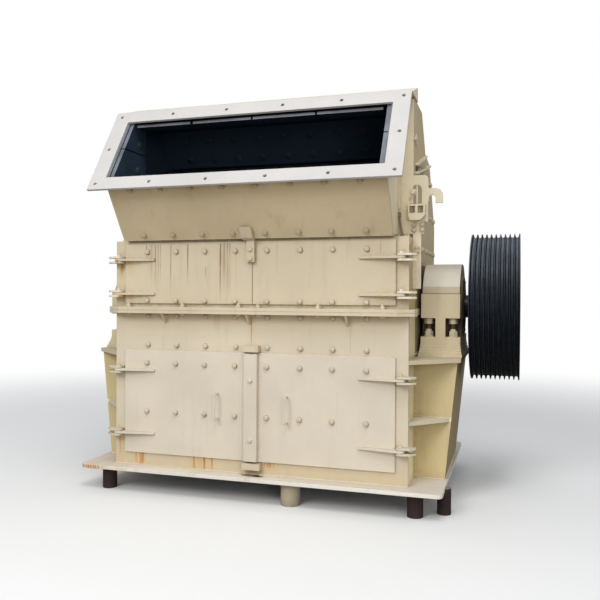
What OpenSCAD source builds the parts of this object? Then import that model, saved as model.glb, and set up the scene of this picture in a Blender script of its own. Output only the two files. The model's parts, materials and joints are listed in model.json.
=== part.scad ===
// Impact crusher on short feet, with hinged inspection doors, an inclined feed flange
// and a grooved belt pulley. Millimetres, +Z up, +Y to the back, origin on the floor
// below the middle of the bounding box.

/* [Casing] */
// Width of the casing over its side walls
casing_w = 1580; // [1400:10:1800]
// Depth of the casing over its front and rear walls
casing_d = 1065; // [1040:5:1200]
// Height of the lower casing up to its flange
lower_h = 813; // [780:1:860]
// Height of the upper front wall above the casing flanges
front_rise = 349; // [330:1:380]
// Thickness of the casing walls
wall_t = 16; // [12:1:25]
// Thickness of each of the two casing flanges
flange_t = 17; // [14:1:22]
// How far the casing flanges stand out at the front
flange_reach = 60; // [50:1:75]

/* [Base] */
// How far the base plate stands out beside the casing
base_side = 168.5; // [140:0.5:210]
// Thickness of the base plate
base_t = 20; // [16:1:30]
// How far the base plate stands out in front of the casing
base_front = 82; // [60:1:110]
// How far the base plate stands out behind the casing
base_rear = 81; // [60:1:110]
// Radius of the base plate's corners
base_corner_r = 30; // [15:1:50]
// Height of the feet
foot_h = 113; // [90:1:140]
// Diameter of the four corner feet
foot_d = 76; // [60:1:90]
// Diameter of the two middle feet
middle_foot_d = 98; // [80:1:110]
// Diameter of the single foot at the edge below the pulley
edge_foot_d = 66; // [50:1:80]
// Place of the edge foot behind the front of the casing
edge_foot_y = 85; // [60:1:140]
// Sideways inset of the corner feet from the edge of the base plate
foot_inset_x = 133; // [90:1:150]
// Inset of the feet from the front and rear edges of the base plate
foot_inset_y = 80; // [60:1:100]
// Sideways place of the middle feet
middle_foot_x = 205; // [0:1:300]

/* [Feed] */
// How far the feed flange stands out beside the casing
feed_overhang = 6; // [0:1:20]
// Length of the feed flange along its slope
feed_l = 542; // [500:1:600]
// Thickness of the feed flange
feed_t = 12; // [10:1:18]
// Slope of the feed flange from the horizontal
feed_angle = 57.5; // [55:0.5:60]
// How far the flange's lower edge stands in front of the casing
feed_lip_y = 272; // [260:1:290]
// Height of the flange's lower edge above the casing's front wall
feed_lip_rise = 242; // [234:1:254]
// Rim of the feed flange beside the opening
feed_rim_side = 84; // [76:1:95]
// Rim of the feed flange above and below the opening
feed_rim_end = 76; // [70:1:85]
// Diameter of the holes in the feed flange
feed_hole_d = 18; // [12:1:22]
// Inset of the hole rows from the flange's outer edge
feed_hole_inset = 36; // [30:1:42]
// Number of holes in each long row of the feed flange
feed_hole_count = 6; // [4:1:8]
// Inset of the hopper's sides from the sides of the casing
hopper_inset = 71; // [50:1:90]
// How far the hopper's front plate starts in front of the casing
hopper_foot_y = 41; // [35:1:50]
// Slope of the hopper's front plate from the vertical
hopper_angle = 33; // [31:0.5:35]
// Thickness of the wear liners in the hopper
liner_t = 20; // [12:1:26]
// Gap between liner segments
liner_gap = 6; // [3:1:10]

/* [Doors] */
// Distance of the doors' outer edges from the sides of the casing
door_edge = 61; // [50:1:90]
// Height of the lower doors' bottom edge above the base plate
door_low = 68; // [60:1:90]
// Distance of the lower doors' top edge from the casing flange
door_head = 195; // [180:1:230]
// Thickness of the door plates
door_t = 12; // [10:1:16]
// Gap at the seam between two doors
seam_gap = 4; // [2:1:6]
// Distance of the upper doors' bottom edge from the casing flanges
upper_door_foot = 18; // [12:1:30]
// Distance of the upper doors' top edge from the top of the front wall
upper_door_edge = 11; // [8:1:30]
// How far the door plates lap over the edges of their openings
door_lap = 45; // [30:1:60]
// Width of the post between the two lower door openings
post_w = 110; // [80:1:140]
// Inset of the hinge pins from the sides of the casing
hinge_inset = 32; // [24:1:38]
// Distance of the hinge pins in front of the casing
hinge_y = 30; // [26:1:36]
// Diameter of the hinge pins
pin_d = 20; // [16:1:24]
// Play of a hinge strap on its pin, measured on the radius
pin_play = 0.1; // [0.05:0.01:0.1]
// Length of a hinge strap from its pin to its inner end
strap_l = 208; // [160:1:240]
// Height of a hinge strap
strap_t = 12; // [10:1:20]
// Thickness of a hinge lug
lug_t = 11; // [8:1:18]
// Gap between a strap and a lug
lug_gap = 1.5; // [1:0.5:3]
// Inset of a lower door's straps from its top and bottom edges
strap_inset = 107.5; // [80:0.5:130]
// Inset of an upper door's lower strap from its bottom edge
upper_strap_low_inset = 50; // [45:1:65]
// Inset of an upper door's upper strap from its top edge
upper_strap_high_inset = 90; // [60:1:110]
// Width of the lock bar over the seam of the lower doors
bar_w = 71; // [60:1:80]
// Thickness of the lock bar
bar_t = 22; // [16:1:26]
// Clearance between the lock bar's ends and its keepers
bar_clear = 9; // [8:1:12]
// Thickness of the keeper blocks above and below the lock bar
keeper_h = 33; // [25:1:40]
// Length of the grab handles
handle_l = 140; // [120:1:160]
// Diameter of the grab handles' rod
handle_d = 10; // [8:1:12]
// Sideways place of the grab handles
handle_x = 188; // [150:1:230]
// Height of the grab handles' middle above the base plate
handle_z = 340; // [300:1:380]

/* [Drive] */
// Height of the rotor's axis above the casing flanges
axis_rise = 10; // [0:1:20]
// Gap between the rotor's tips and the outer faces of the front and rear walls
rotor_gap = 107.5; // [95:0.5:140]
// Gap between the rotor and each side wall
rotor_side_gap = 54; // [40:1:90]
// Gap between the rotor and the upper impact apron
apron_gap = 42; // [30:1:80]
// Height of the upper impact apron
apron_h = 425; // [380:5:450]
// Height of the lower impact apron
rear_apron_h = 440; // [380:5:460]
// Diameter of the shaft in the bearings and the pulley
shaft_d = 120; // [90:1:140]
// Play of the shaft in the bearing housings, measured on the radius
shaft_play = 0.1; // [0.05:0.01:0.1]
// Width of a bearing housing along the shaft
housing_w = 196; // [170:1:200]
// Gap between the casing and a bearing housing
housing_gap = 20; // [14:1:26]
// Radius of a bearing housing's round top
housing_r = 226; // [210:1:235]
// Length of a bearing housing's foot
housing_foot_l = 470; // [450:1:500]
// Height of the rotor's axis above the bearing shelf
housing_h = 255; // [245:1:265]
// Thickness of the bearing shelf and its webs
shelf_t = 20; // [16:1:24]
// Reach of the bearing shelf from the casing
shelf_reach = 228; // [222:1:240]
// Distance of the shelf's webs from the casing's front and rear
web_inset = 203; // [190:1:220]
// Outside diameter of the pulley
pulley_d = 769; // [700:1:800]
// Number of grooves in the pulley
groove_count = 10; // [6:1:12]
// Pitch of the grooves
groove_pitch = 23.5; // [23:0.5:26]
// Depth of the grooves
groove_depth = 19; // [14:0.5:20]
// Gap between a bearing housing and the pulley
pulley_gap = 47; // [40:1:60]

/* [Hidden] */
$fn = 96;

// Hair gap between pieces of different bodies that lie on each other
hair = 0.3;
// Height of the base plate's top above the floor
base_top = foot_h + base_t;
// Half width of the casing and the inner face of its side walls
casing_x = casing_w / 2;
inner_x = casing_x - wall_t;
// Top of the flange pair and of the front wall above the base plate
upper_z = lower_h + 2 * flange_t;
front_h = upper_z + front_rise;
// Size of the base plate
base_w = casing_w + 2 * base_side;
base_d = base_front + casing_d + base_rear;
// Sizes of the feed flange and the hopper that follow the casing
feed_w = casing_w + 2 * feed_overhang;
feed_lip_z = front_h + feed_lip_rise;
hopper_w = casing_w - 2 * hopper_inset;
// Outer edges of the doors, their hinge pins and their straps
door_w = casing_x - door_edge;
hinge_x = casing_x - hinge_inset;
door_h = lower_h - door_head - door_low;
upper_door_low = upper_z + upper_door_foot;
upper_door_h = front_h - upper_door_edge - upper_door_low;
strap_low = door_low + strap_inset;
strap_high = door_low + door_h - strap_inset;
upper_strap_low = upper_door_low + upper_strap_low_inset;
upper_strap_high = upper_door_low + upper_door_h - upper_strap_high_inset;
// Length of the rotor
rotor_l = 2 * (inner_x - rotor_side_gap);
// Heights of the rotor's axis and of the bearing shelf above the base plate
axis_z = upper_z + axis_rise;
shelf_z = axis_z - housing_h;
// Rotor axis, midway between the front and rear walls
axis_y = casing_d / 2;
// Radius of the rotor over its blow bars
rotor_r = axis_y - rotor_gap;

// Directions along the feed flange, out of it, and up the hopper's front plate
feed_up = [cos(feed_angle), sin(feed_angle)];
feed_out = [-sin(feed_angle), cos(feed_angle)];
hopper_up = [-sin(hopper_angle), cos(hopper_angle)];
hopper_in = [cos(hopper_angle), sin(hopper_angle)];
// Corners of the feed flange's section, in Y and Z above the base plate
feed_low = [-feed_lip_y, feed_lip_z];
feed_high = feed_low + feed_up * feed_l;
feed_back_low = feed_low - feed_out * feed_t;
feed_back_high = feed_high - feed_out * feed_t;
// Lower outer corner of the hopper's front plate
hopper_foot = [-hopper_foot_y, front_h];

// Front of the wider rear housing behind the hopper
housing_front_y = 135;
// Thickness of the roof plates
roof_t = 12;
// Inner face of the rear wall
rear_in = casing_d - wall_t;
// Distances of the roof's corners from the back, and their heights above the front wall
roof_flat_back = 625;
roof_drop_back = 465;
roof_shoulder_back = 265;
roof_drop_rise = 504;
roof_shoulder_rise = 476;
roof_back_rise = 134;
// Outline of the roof from the feed flange to the rear wall
roof_line = [
    feed_back_high,
    [casing_d - roof_flat_back, feed_back_high[1]],
    [casing_d - roof_drop_back, front_h + roof_drop_rise],
    [casing_d - roof_shoulder_back, front_h + roof_shoulder_rise],
    [casing_d, front_h + roof_back_rise]
];

// Outer end of the bearing shelf and of the pulley
shelf_x = casing_x + shelf_reach;
housing_x = casing_x + housing_gap;
pulley_w = groove_count * groove_pitch + 8;
pulley_x = housing_x + housing_w + pulley_gap;
// How far the shaft ends inside the pulley's outer face
shaft_end = 6;
// Extent of the whole machine, which sets the origin
low_x = -shelf_x;
high_x = pulley_x + pulley_w;
mid_x = (low_x + high_x) / 2;
mid_y = (-feed_lip_y + casing_d + base_rear) / 2;

cream = [0.80, 0.74, 0.60];
pale = [0.90, 0.88, 0.84];
steel = [0.45, 0.46, 0.48];
dark = [0.16, 0.17, 0.20];
umber = [0.25, 0.18, 0.14];

// Crossing of two lines, each given by a point and a direction
function meet(p, d, q, e) = p + d * cross(q - p, e) / cross(d, e);

// Offset of an outline's corner to its right-hand side, mitred between its two edges
function side_of(d) = [d[1], -d[0]] / norm(d);
function inner_corner(line, i, t) =
    let (
        last = len(line) - 1,
        before = i == 0 ? line[1] - line[0] : line[i] - line[i - 1],
        after = i == last ? before : line[i + 1] - line[i]
    )
    i == 0 || i == last || cross(before, after) == 0
        ? line[i] + side_of(after) * t
        : meet(line[i] + side_of(before) * t, before, line[i] + side_of(after) * t, after);

// Moves a piece from the casing's own axes to the machine's origin
module in_place() {
    translate([-mid_x, -mid_y, 0]) children();
}

// The same, for a piece whose heights count from the base plate
module on_base() {
    translate([-mid_x, -mid_y, base_top]) children();
}

// Solid whose section in Y and Z runs from x to x + w
module across(points, x, w) {
    translate([x, 0, 0]) rotate([90, 0, 90]) linear_extrude(w) polygon(points);
}

// Plate whose outline in X and Z is the child, from y to y + t
module facing(y, t) {
    translate([0, y + t, 0]) rotate([90, 0, 0]) linear_extrude(t) children();
}

// Rectangle with round corners, centred on the origin
module round_rect(w, d, r) {
    square([w - 2 * r, d], center = true);
    square([w, d - 2 * r], center = true);
    for (x = [-1, 1], y = [-1, 1])
        translate([x * (w / 2 - r), y * (d / 2 - r)]) circle(r);
}

// Copies of a piece on the left and the right
module both_sides() {
    children();
    mirror([1, 0, 0]) children();
}

module base_plate() {
    color(cream) in_place() translate([0, 0, foot_h]) difference() {
        translate([0, casing_d / 2 + (base_rear - base_front) / 2, 0])
            linear_extrude(base_t) round_rect(base_w, base_d, base_corner_r);
        translate([-inner_x, wall_t, -1])
            cube([2 * inner_x, casing_d - 2 * wall_t, base_t + 2]);
    }
}

foot_x = base_w / 2 - foot_inset_x;
foot_y = [foot_inset_y - base_front, casing_d + base_rear - foot_inset_y];
// How far the centre of the edge foot lies inside the edge of the base plate
edge_foot_in = 6;
// How far the edge foot's top lies below the top of the base plate
edge_foot_low = 8;

module corner_feet() {
    color(umber) in_place() for (x = [-foot_x, foot_x], y = foot_y)
        translate([x, y, 0]) cylinder(h = foot_h, d = foot_d);
}

// Foot welded to the right edge of the base plate, half below it and half beside it
module edge_foot() {
    color(umber) in_place() difference() {
        translate([base_w / 2 - edge_foot_in, edge_foot_y, 0])
            cylinder(h = base_top - edge_foot_low, d = edge_foot_d);
        translate([0, 0, foot_h]) cube([base_w / 2, casing_d, base_t]);
    }
}

module middle_feet() {
    color(cream) in_place() for (y = foot_y)
        translate([middle_foot_x, y, 0]) cylinder(h = foot_h, d = middle_foot_d);
}

door_inner = post_w / 2;
door_outer = door_w - door_lap;

module lower_front_wall() {
    color(cream) on_base() facing(0, wall_t) difference() {
        translate([-casing_x, 0]) square([casing_w, lower_h]);
        for (side = [-1, 1])
            translate([side > 0 ? door_inner : -door_outer, door_low + door_lap])
                square([door_outer - door_inner, door_h - 2 * door_lap]);
    }
}

// Lower side wall with the hole that the rotor shaft turns in
module lower_side_wall() {
    color(cream) on_base() difference() {
        translate([inner_x, wall_t, 0])
            cube([wall_t, casing_d - 2 * wall_t, lower_h]);
        translate([0, axis_y, axis_z]) rotate([0, 90, 0]) cylinder(h = casing_x + 1, r = shaft_hole_r);
    }
}

shaft_hole_r = 95;

module lower_side_wall_right() {
    lower_side_wall();
}

module lower_side_wall_left() {
    translate([-2 * mid_x, 0, 0]) mirror([1, 0, 0]) lower_side_wall();
}

module lower_rear_wall() {
    color(cream) on_base() facing(casing_d - wall_t, wall_t)
        translate([-casing_x, 0]) square([casing_w, lower_h]);
}

flange_nose_x = casing_x + 38;
flange_slim_x = casing_x + 8;

// Half outline of a casing flange, with a nose at the front and a slim side
module flange_half() {
    polygon([
        [0, -flange_reach], [casing_x - 45, -flange_reach], [casing_x + 30, -flange_reach / 3],
        [flange_nose_x, 0], [flange_nose_x, wall_t], [flange_slim_x, wall_t + 32],
        [flange_slim_x, casing_d - wall_t - 32], [flange_nose_x, casing_d - wall_t],
        [flange_nose_x, casing_d + flange_reach / 2], [0, casing_d + flange_reach / 2]
    ]);
}

module flange_ring() {
    linear_extrude(flange_t) difference() {
        both_sides() flange_half();
        translate([-inner_x, wall_t]) square([2 * inner_x, casing_d - 2 * wall_t]);
    }
}

// Clearance hole for the shaft, cut from whatever meets it
module shaft_hole() {
    translate([0, axis_y, axis_z]) rotate([0, 90, 0])
        cylinder(h = 2 * casing_w, r = shaft_hole_r, center = true);
}

gusset_x = [-0.624 * casing_x, -20, 0.624 * casing_x];
gusset_leg = 55;
gusset_t = 12;

module lower_flange() {
    color(cream) on_base() difference() {
        union() {
            translate([0, 0, lower_h]) flange_ring();
            for (x = gusset_x)
                across([[0, lower_h], [-gusset_leg, lower_h], [0, lower_h - gusset_leg]],
                    x - gusset_t / 2, gusset_t);
        }
        shaft_hole();
    }
}

module upper_flange() {
    color(cream) on_base() difference() {
        translate([0, 0, lower_h + flange_t]) flange_ring();
        shaft_hole();
    }
}

front_corner_r = 45;

module upper_front_wall() {
    opening_low = upper_door_low + door_lap;
    opening_h = upper_door_h - 2 * door_lap;
    color(cream) on_base() facing(0, wall_t) difference() {
        union() {
            translate([-casing_x, upper_z])
                square([casing_w, front_h - upper_z - front_corner_r]);
            translate([front_corner_r - casing_x, upper_z])
                square([casing_w - 2 * front_corner_r, front_h - upper_z]);
            both_sides() translate([casing_x - front_corner_r, front_h - front_corner_r])
                circle(front_corner_r);
        }
        for (side = [-1, 1])
            translate([side > 0 ? door_inner : -door_outer, opening_low])
                square([door_outer - door_inner, opening_h]);
    }
}

// Outline of the upper side wall, in Y and Z above the base plate
upper_side_outline = concat(
    [
        [wall_t, upper_z],
        [wall_t, front_h - front_corner_r],
        [housing_front_y, front_h],
        [housing_front_y, roof_line[1][1]]
    ],
    [for (i = [1:4]) roof_line[i]],
    [[casing_d, upper_z]]
);

module upper_side_wall() {
    color(cream) on_base() difference() {
        across(upper_side_outline, inner_x, wall_t);
        shaft_hole();
    }
}

module upper_side_wall_right() {
    upper_side_wall();
}

module upper_side_wall_left() {
    translate([-2 * mid_x, 0, 0]) mirror([1, 0, 0]) upper_side_wall();
}

module upper_rear_wall() {
    corner = roof_line[4];
    seam = side_of(corner - roof_line[3]);
    color(cream) on_base()
        across([[rear_in, upper_z], [casing_d, upper_z], corner,
            meet(corner, seam, [rear_in, 0], [0, 1])], -inner_x, 2 * inner_x);
}

// One roof plate between two corners of the roof line, mitred to its neighbours
module roof_plate(i) {
    color(cream) on_base()
        across([roof_line[i], roof_line[i + 1],
            inner_corner(roof_line, i + 1, roof_t), inner_corner(roof_line, i, roof_t)],
            -inner_x, 2 * inner_x);
}

module roof_top() {
    roof_plate(0);
}

module roof_drop() {
    roof_plate(1);
}

module roof_shoulder() {
    roof_plate(2);
}

module roof_rear() {
    roof_plate(3);
}

beam_back_y = 232;
beam_rise = 72;

module top_beam() {
    z = roof_line[0][1];
    color(cream) on_base()
        across([[feed_back_high[0] + 2, z], [beam_back_y - 8, z + beam_rise], [beam_back_y, z + 8],
            [beam_back_y, z]], -feed_w / 2, feed_w);
}

// Where the hopper's front plate meets the back of the feed flange, outside and inside
hopper_head = meet(hopper_foot, hopper_up, feed_back_low, feed_up);
hopper_inner_foot = hopper_foot + hopper_in * wall_t;
hopper_inner_head = meet(hopper_inner_foot, hopper_up, feed_back_low, feed_up);

module hopper_front_plate() {
    ledge_t = 12;
    ledge_in = meet(hopper_inner_foot, hopper_up, [0, front_h + ledge_t], [1, 0]);
    color(cream) on_base() across(
        [hopper_foot, [wall_t, front_h], [wall_t, front_h + ledge_t], ledge_in,
            hopper_inner_head, hopper_head],
        -hopper_w / 2, hopper_w);
}

hopper_side_x = hopper_w / 2;

module hopper_side() {
    ledge_t = 12;
    ledge_in = meet(hopper_inner_foot, hopper_up, [0, front_h + ledge_t], [1, 0]);
    roof_under = roof_line[0][1] - roof_t;
    color(cream) on_base() across(
        [ledge_in, [housing_front_y - wall_t, front_h + ledge_t],
            [housing_front_y - wall_t, roof_under],
            meet(feed_back_low, feed_up, [0, roof_under], [1, 0]), hopper_inner_head],
        hopper_side_x - wall_t, wall_t);
}

module hopper_side_right() {
    hopper_side();
}

module hopper_side_left() {
    translate([-2 * mid_x, 0, 0]) mirror([1, 0, 0]) hopper_side();
}

feed_hole_x = [for (i = [0:feed_hole_count - 1])
    (feed_w - 2 * feed_hole_inset) * (i / (feed_hole_count - 1) - 0.5)];

// Feed flange in its own plane: x along its width, y up its slope
module feed_flange_outline() {
    difference() {
        translate([-feed_w / 2, 0]) square([feed_w, feed_l]);
        translate([feed_rim_side - feed_w / 2, feed_rim_end])
            square([feed_w - 2 * feed_rim_side, feed_l - 2 * feed_rim_end]);
    }
}

module feed_flange() {
    color(pale) on_base() translate([0, feed_low[0], feed_low[1]]) rotate([feed_angle, 0, 0])
        translate([0, 0, -feed_t]) difference() {
            linear_extrude(feed_t) feed_flange_outline();
            for (x = feed_hole_x, y = [feed_hole_inset, feed_l - feed_hole_inset])
                translate([x, y, -1]) cylinder(h = feed_t + 2, d = feed_hole_d);
            for (x = [-1, 1] * (feed_w / 2 - feed_hole_inset))
                translate([x, feed_l / 2, -1]) cylinder(h = feed_t + 2, d = feed_hole_d);
        }
}

// Row of liner segments across the hopper, with gaps between them
module liner_row(section, span, count) {
    pitch = (span + liner_gap) / count;
    for (i = [0:count - 1])
        across(section, i * pitch - span / 2, pitch - liner_gap);
}

liner_span = 2 * (hopper_side_x - wall_t - liner_t) - 2 * liner_gap;
liner_front = 10;

module liners_top() {
    top = roof_line[0][1] - roof_t;
    front_top = meet(feed_back_low, feed_up, [0, top], [1, 0]);
    front_low = meet(feed_back_low, feed_up, [0, top - liner_t], [1, 0]);
    color(steel) on_base() liner_row(
        [front_top + [liner_front, 0], front_low + [liner_front, 0],
            [housing_front_y - wall_t, top - liner_t], [housing_front_y - wall_t, top]],
        liner_span, 5);
}

module liners_bottom() {
    seat = hopper_inner_foot + hopper_in * 0.02;
    head = hopper_inner_head - hopper_up * liner_front + hopper_in * 0.02;
    low = seat + hopper_up * 40;
    color(steel) on_base() liner_row(
        [low, head, head + hopper_in * liner_t, low + hopper_in * liner_t], liner_span, 5);
}

module liners_side() {
    low = hopper_inner_foot + hopper_up * 60 + hopper_in * liner_gap;
    step = (hopper_inner_head - low) / 2;
    roof_under = roof_line[0][1] - roof_t;
    back = housing_front_y - wall_t;
    front_at = function (z) meet(feed_back_low, feed_up, [0, z], [1, 0])[0] + liner_front;
    split = hopper_inner_head[1] + 170;
    color(steel) on_base() both_sides() {
        across([[front_at(split + liner_gap), split + liner_gap], [back, split + liner_gap],
            [back, roof_under], [front_at(roof_under), roof_under]],
            hopper_side_x - wall_t - liner_t, liner_t);
        across([low, [back, low[1]], [back, split], [front_at(split), split],
            hopper_inner_head + [liner_front, 0]],
            hopper_side_x - wall_t - liner_t, liner_t);
    }
}

ear_low = front_h + 19;
ear_top = front_h + 306;
ear_x = casing_x + 73;
ear_t = 14;
// Arched recess with an upright rod, and the bracket with two windows below it
arch_x = casing_x + 18;
arch_w = 49;
arch_low = front_h + 164;
arch_top = front_h + 260;
bracket_size = [82, 34, 56];
window = [26, 34];

// Plate at the front of the rear housing, with the lifting hook on its outer edge
module ear_plate() {
    seat_x = hopper_side_x - wall_t;
    y = housing_front_y - ear_t;
    color(cream) on_base() {
        facing(y, ear_t) {
            translate([seat_x, ear_low]) square([casing_x - seat_x, roof_line[0][1] - roof_t - ear_low]);
            difference() {
                union() {
                    translate([seat_x, ear_low]) square([ear_x - seat_x - 20, ear_top - ear_low]);
                    translate([seat_x, ear_low + 60]) square([ear_x - seat_x, ear_top - ear_low - 80]);
                    translate([ear_x - 20, ear_top - 20]) circle(20);
                    translate([ear_x - 25, hook_z - 27]) square([60, 62]);
                    translate([ear_x + 35, hook_z]) circle(35);
                    translate([ear_x + 35, hook_z - 37]) square([35, 37]);
                }
                translate([ear_x + 3, hook_z - 52]) square([32, 38]);
                translate([ear_x + 19, hook_z - 14]) circle(16);
                translate([arch_x - arch_w / 2, arch_low])
                    square([arch_w, arch_top - arch_low - arch_w / 2]);
                translate([arch_x, arch_top - arch_w / 2]) circle(arch_w / 2);
            }
        }
        translate([arch_x, y + ear_t / 2, arch_low - 2]) cylinder(h = arch_top - arch_low + 4, d = 10);
        translate([arch_x - 17, y, arch_low + 62]) rotate([90, 0, 0]) cylinder(h = 14, r = 12);
        translate([arch_x - 30, y - 1, arch_low + 48]) cube([26, ear_t, 28]);
        translate([hopper_side_x, y - 12, ear_low + 125]) cube([11, 13, 158]);
        bracket(y);
    }
}

hook_z = front_h + 206;

// Bracket with two windows and a tapered foot, on the face of the ear plate
module bracket(y) {
    low = arch_low - bracket_size[2];
    facing(y - bracket_size[1], bracket_size[1] + 1) difference() {
        polygon([
            [arch_x - 38, arch_low - 2], [arch_x + 44, arch_low - 2], [arch_x + 44, low],
            [arch_x + 20, low - 24], [arch_x - 30, low - 24], [arch_x - 38, low]
        ]);
        for (x = [arch_x - 31, arch_x + 9])
            translate([x, low + 11]) square(window);
    }
}

module ear_plate_right() {
    ear_plate();
}

// Plain plate without a hook, on the side where the hopper hides it
module ear_plate_left() {
    seat_x = hopper_side_x - wall_t;
    color(cream) translate([-2 * mid_x, 0, 0]) mirror([1, 0, 0]) on_base()
        facing(housing_front_y - ear_t, ear_t) translate([seat_x, ear_low])
            square([casing_x - seat_x, roof_line[0][1] - roof_t - ear_low]);
}

rib_reach = 40;
slant_reach = 20;
rib_t = 12;

// Upright strip and slanting ribs on the outside of the upper side wall
module side_ribs() {
    upright_low = upper_z + 100;
    upper_rib = [[200, front_h + 371], [casing_d - 535, front_h + 470]];
    lower_rib = [[190, front_h + 325], [casing_d - 365, front_h + 448]];
    color(cream) on_base() {
        translate([casing_x, housing_front_y - ear_t, upright_low])
            cube([rib_reach, rib_t, ear_low - upright_low]);
        for (ends = [upper_rib, lower_rib])
            across([ends[0], ends[1], ends[1] + [0, rib_t], ends[0] + [0, rib_t]],
                casing_x, slant_reach);
    }
}

module side_ribs_right() {
    side_ribs();
}

module side_ribs_left() {
    translate([-2 * mid_x, 0, 0]) mirror([1, 0, 0]) side_ribs();
}

// Hinge strap with its eye, on a right-hand door
module strap(z) {
    eye_r = pin_d / 2 + 12;
    translate([0, 0, z - strap_t / 2]) difference() {
        union() {
            translate([hinge_x, -hinge_y, 0]) cylinder(h = strap_t, r = eye_r);
            linear_extrude(strap_t) polygon([
                [hinge_x - strap_l, -door_t], [door_w, -door_t],
                [hinge_x, -hinge_y + eye_r * 0.4], [hinge_x, -hinge_y - eye_r],
                [hinge_x - strap_l, -door_t - 10]
            ]);
        }
        translate([hinge_x, -hinge_y, -1]) cylinder(h = strap_t + 2, r = pin_d / 2 + pin_play);
    }
}

// Door plate on the right of the seam
module door_plate(low, high) {
    facing(-door_t - hair, door_t)
        translate([seam_gap / 2, low]) square([door_w - seam_gap / 2, high - low]);
}

handle_reach = 45;

// Grab handle of round rod
module handle() {
    r = handle_d / 2;
    for (z = [-1, 1] * (handle_l / 2 - r)) translate([handle_x, -door_t, handle_z + z]) {
        translate([0, 1, 0]) rotate([90, 0, 0]) cylinder(h = handle_reach + 1, d = handle_d);
        translate([0, -handle_reach, 0]) sphere(d = handle_d);
    }
    translate([handle_x, -door_t - handle_reach, handle_z - handle_l / 2 + r])
        cylinder(h = handle_l - 2 * r, d = handle_d);
}

module lower_door() {
    color(cream) on_base() {
        door_plate(door_low, door_low + door_h);
        translate([0, -hair, 0]) {
            strap(strap_low);
            strap(strap_high);
            handle();
        }
    }
}

module lower_door_right() {
    lower_door();
}

module lower_door_left() {
    translate([-2 * mid_x, 0, 0]) mirror([1, 0, 0]) lower_door();
}

module upper_door() {
    color(cream) on_base() {
        door_plate(upper_door_low, upper_door_low + upper_door_h);
        translate([0, -hair, 0]) {
            strap(upper_strap_low);
            strap(upper_strap_high);
        }
    }
}

module upper_door_right() {
    upper_door();
}

module upper_door_left() {
    translate([-2 * mid_x, 0, 0]) mirror([1, 0, 0]) upper_door();
}

// Pair of hinge lugs on the casing's front edge, joined by their pin
module lug_pair(z) {
    lug_z = strap_t / 2 + lug_gap;
    for (low = [z + lug_z, z - lug_z - lug_t]) translate([0, 0, low]) linear_extrude(lug_t) {
        polygon([
            [door_w + 8, 0], [hinge_x - 22, -hinge_y], [hinge_x, -hinge_y - 22],
            [casing_x + 16, -hinge_y - 10], [casing_x + 38, -16], [casing_x + 38, 0]
        ]);
        translate([hinge_x, -hinge_y]) circle(22);
    }
    translate([hinge_x, -hinge_y, z - lug_z - lug_t]) cylinder(h = 2 * (lug_z + lug_t) + 10, d = pin_d);
}

module lower_hinges() {
    color(cream) on_base() for (z = [strap_low, strap_high]) translate([0, -hair, 0]) lug_pair(z);
}

module lower_hinges_right() {
    lower_hinges();
}

module lower_hinges_left() {
    translate([-2 * mid_x, 0, 0]) mirror([1, 0, 0]) lower_hinges();
}

module upper_hinges() {
    color(cream) on_base() for (z = [upper_strap_low, upper_strap_high])
        translate([0, -hair, 0]) lug_pair(z);
}

module upper_hinges_right() {
    upper_hinges();
}

module upper_hinges_left() {
    translate([-2 * mid_x, 0, 0]) mirror([1, 0, 0]) upper_hinges();
}

module upper_clamp() {
    face = -door_t - 2 * hair;
    low = front_h - 119;
    head_low = front_h - 9;
    head_high = front_h + 52;
    color(cream) on_base() {
        translate([-26, face - bar_t, low]) cube([43, bar_t, front_h - low]);
        across([
            [face, head_low], [face - bar_t, head_low], [-hopper_foot_y - 22, front_h],
            [-hopper_foot_y - 22 - (head_high - front_h) * tan(hopper_angle), head_high],
            [-hopper_foot_y - (head_high - front_h) * tan(hopper_angle) - hair, head_high],
            [-hopper_foot_y - hair, front_h - hair], [face, front_h - hair]
        ], -43, 62);
    }
}

bar_low = door_low + 2;
bar_high = door_low + door_h - 4;

module lock_bar() {
    color(cream) on_base() translate([-bar_w / 2 - 2, -door_t - 2 * hair - bar_t, bar_low])
        cube([bar_w, bar_t, bar_high - bar_low]);
}

module lock_keepers() {
    reach = door_t + bar_t + 4;
    color(cream) on_base() {
        translate([-45, -reach, bar_high + bar_clear]) cube([86, reach, keeper_h]);
        translate([-45, -reach, bar_low - bar_clear - keeper_h]) cube([96, reach, keeper_h]);
    }
}

// Welded bracket that carries a bearing housing
module bearing_pedestal() {
    foot_in = 74;
    top = shelf_z - shelf_t;
    web_x = shelf_x - 16;
    rib_z = 287;
    color(cream) on_base() {
        translate([0, 0, top]) linear_extrude(shelf_t) polygon([
            [casing_x, 0], [shelf_x, web_inset], [shelf_x, casing_d - web_inset], [casing_x, casing_d]
        ]);
        for (y = [web_inset, casing_d - web_inset - shelf_t]) facing(y, shelf_t)
            polygon([[casing_x, 0], [shelf_x - foot_in, 0], [web_x, top], [casing_x, top]]);
        rotate([90, 0, 0]) translate([0, 0, shelf_t - (casing_d - web_inset)])
            linear_extrude(casing_d - 2 * web_inset - 2 * shelf_t) polygon([
                [shelf_x - foot_in - shelf_t, 0], [shelf_x - foot_in, 0],
                [web_x, top], [web_x - shelf_t, top]
            ]);
        for (y = [0, 1]) translate([0, y * casing_d, rib_z]) mirror([0, y, 0])
            linear_extrude(shelf_t) polygon([
                [casing_x, 20], [shelf_x - foot_in / 2 - 16, web_inset], [casing_x, web_inset]
            ]);
    }
}

module bearing_pedestal_right() {
    bearing_pedestal();
}

module bearing_pedestal_left() {
    translate([-2 * mid_x, 0, 0]) mirror([1, 0, 0]) bearing_pedestal();
}

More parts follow.
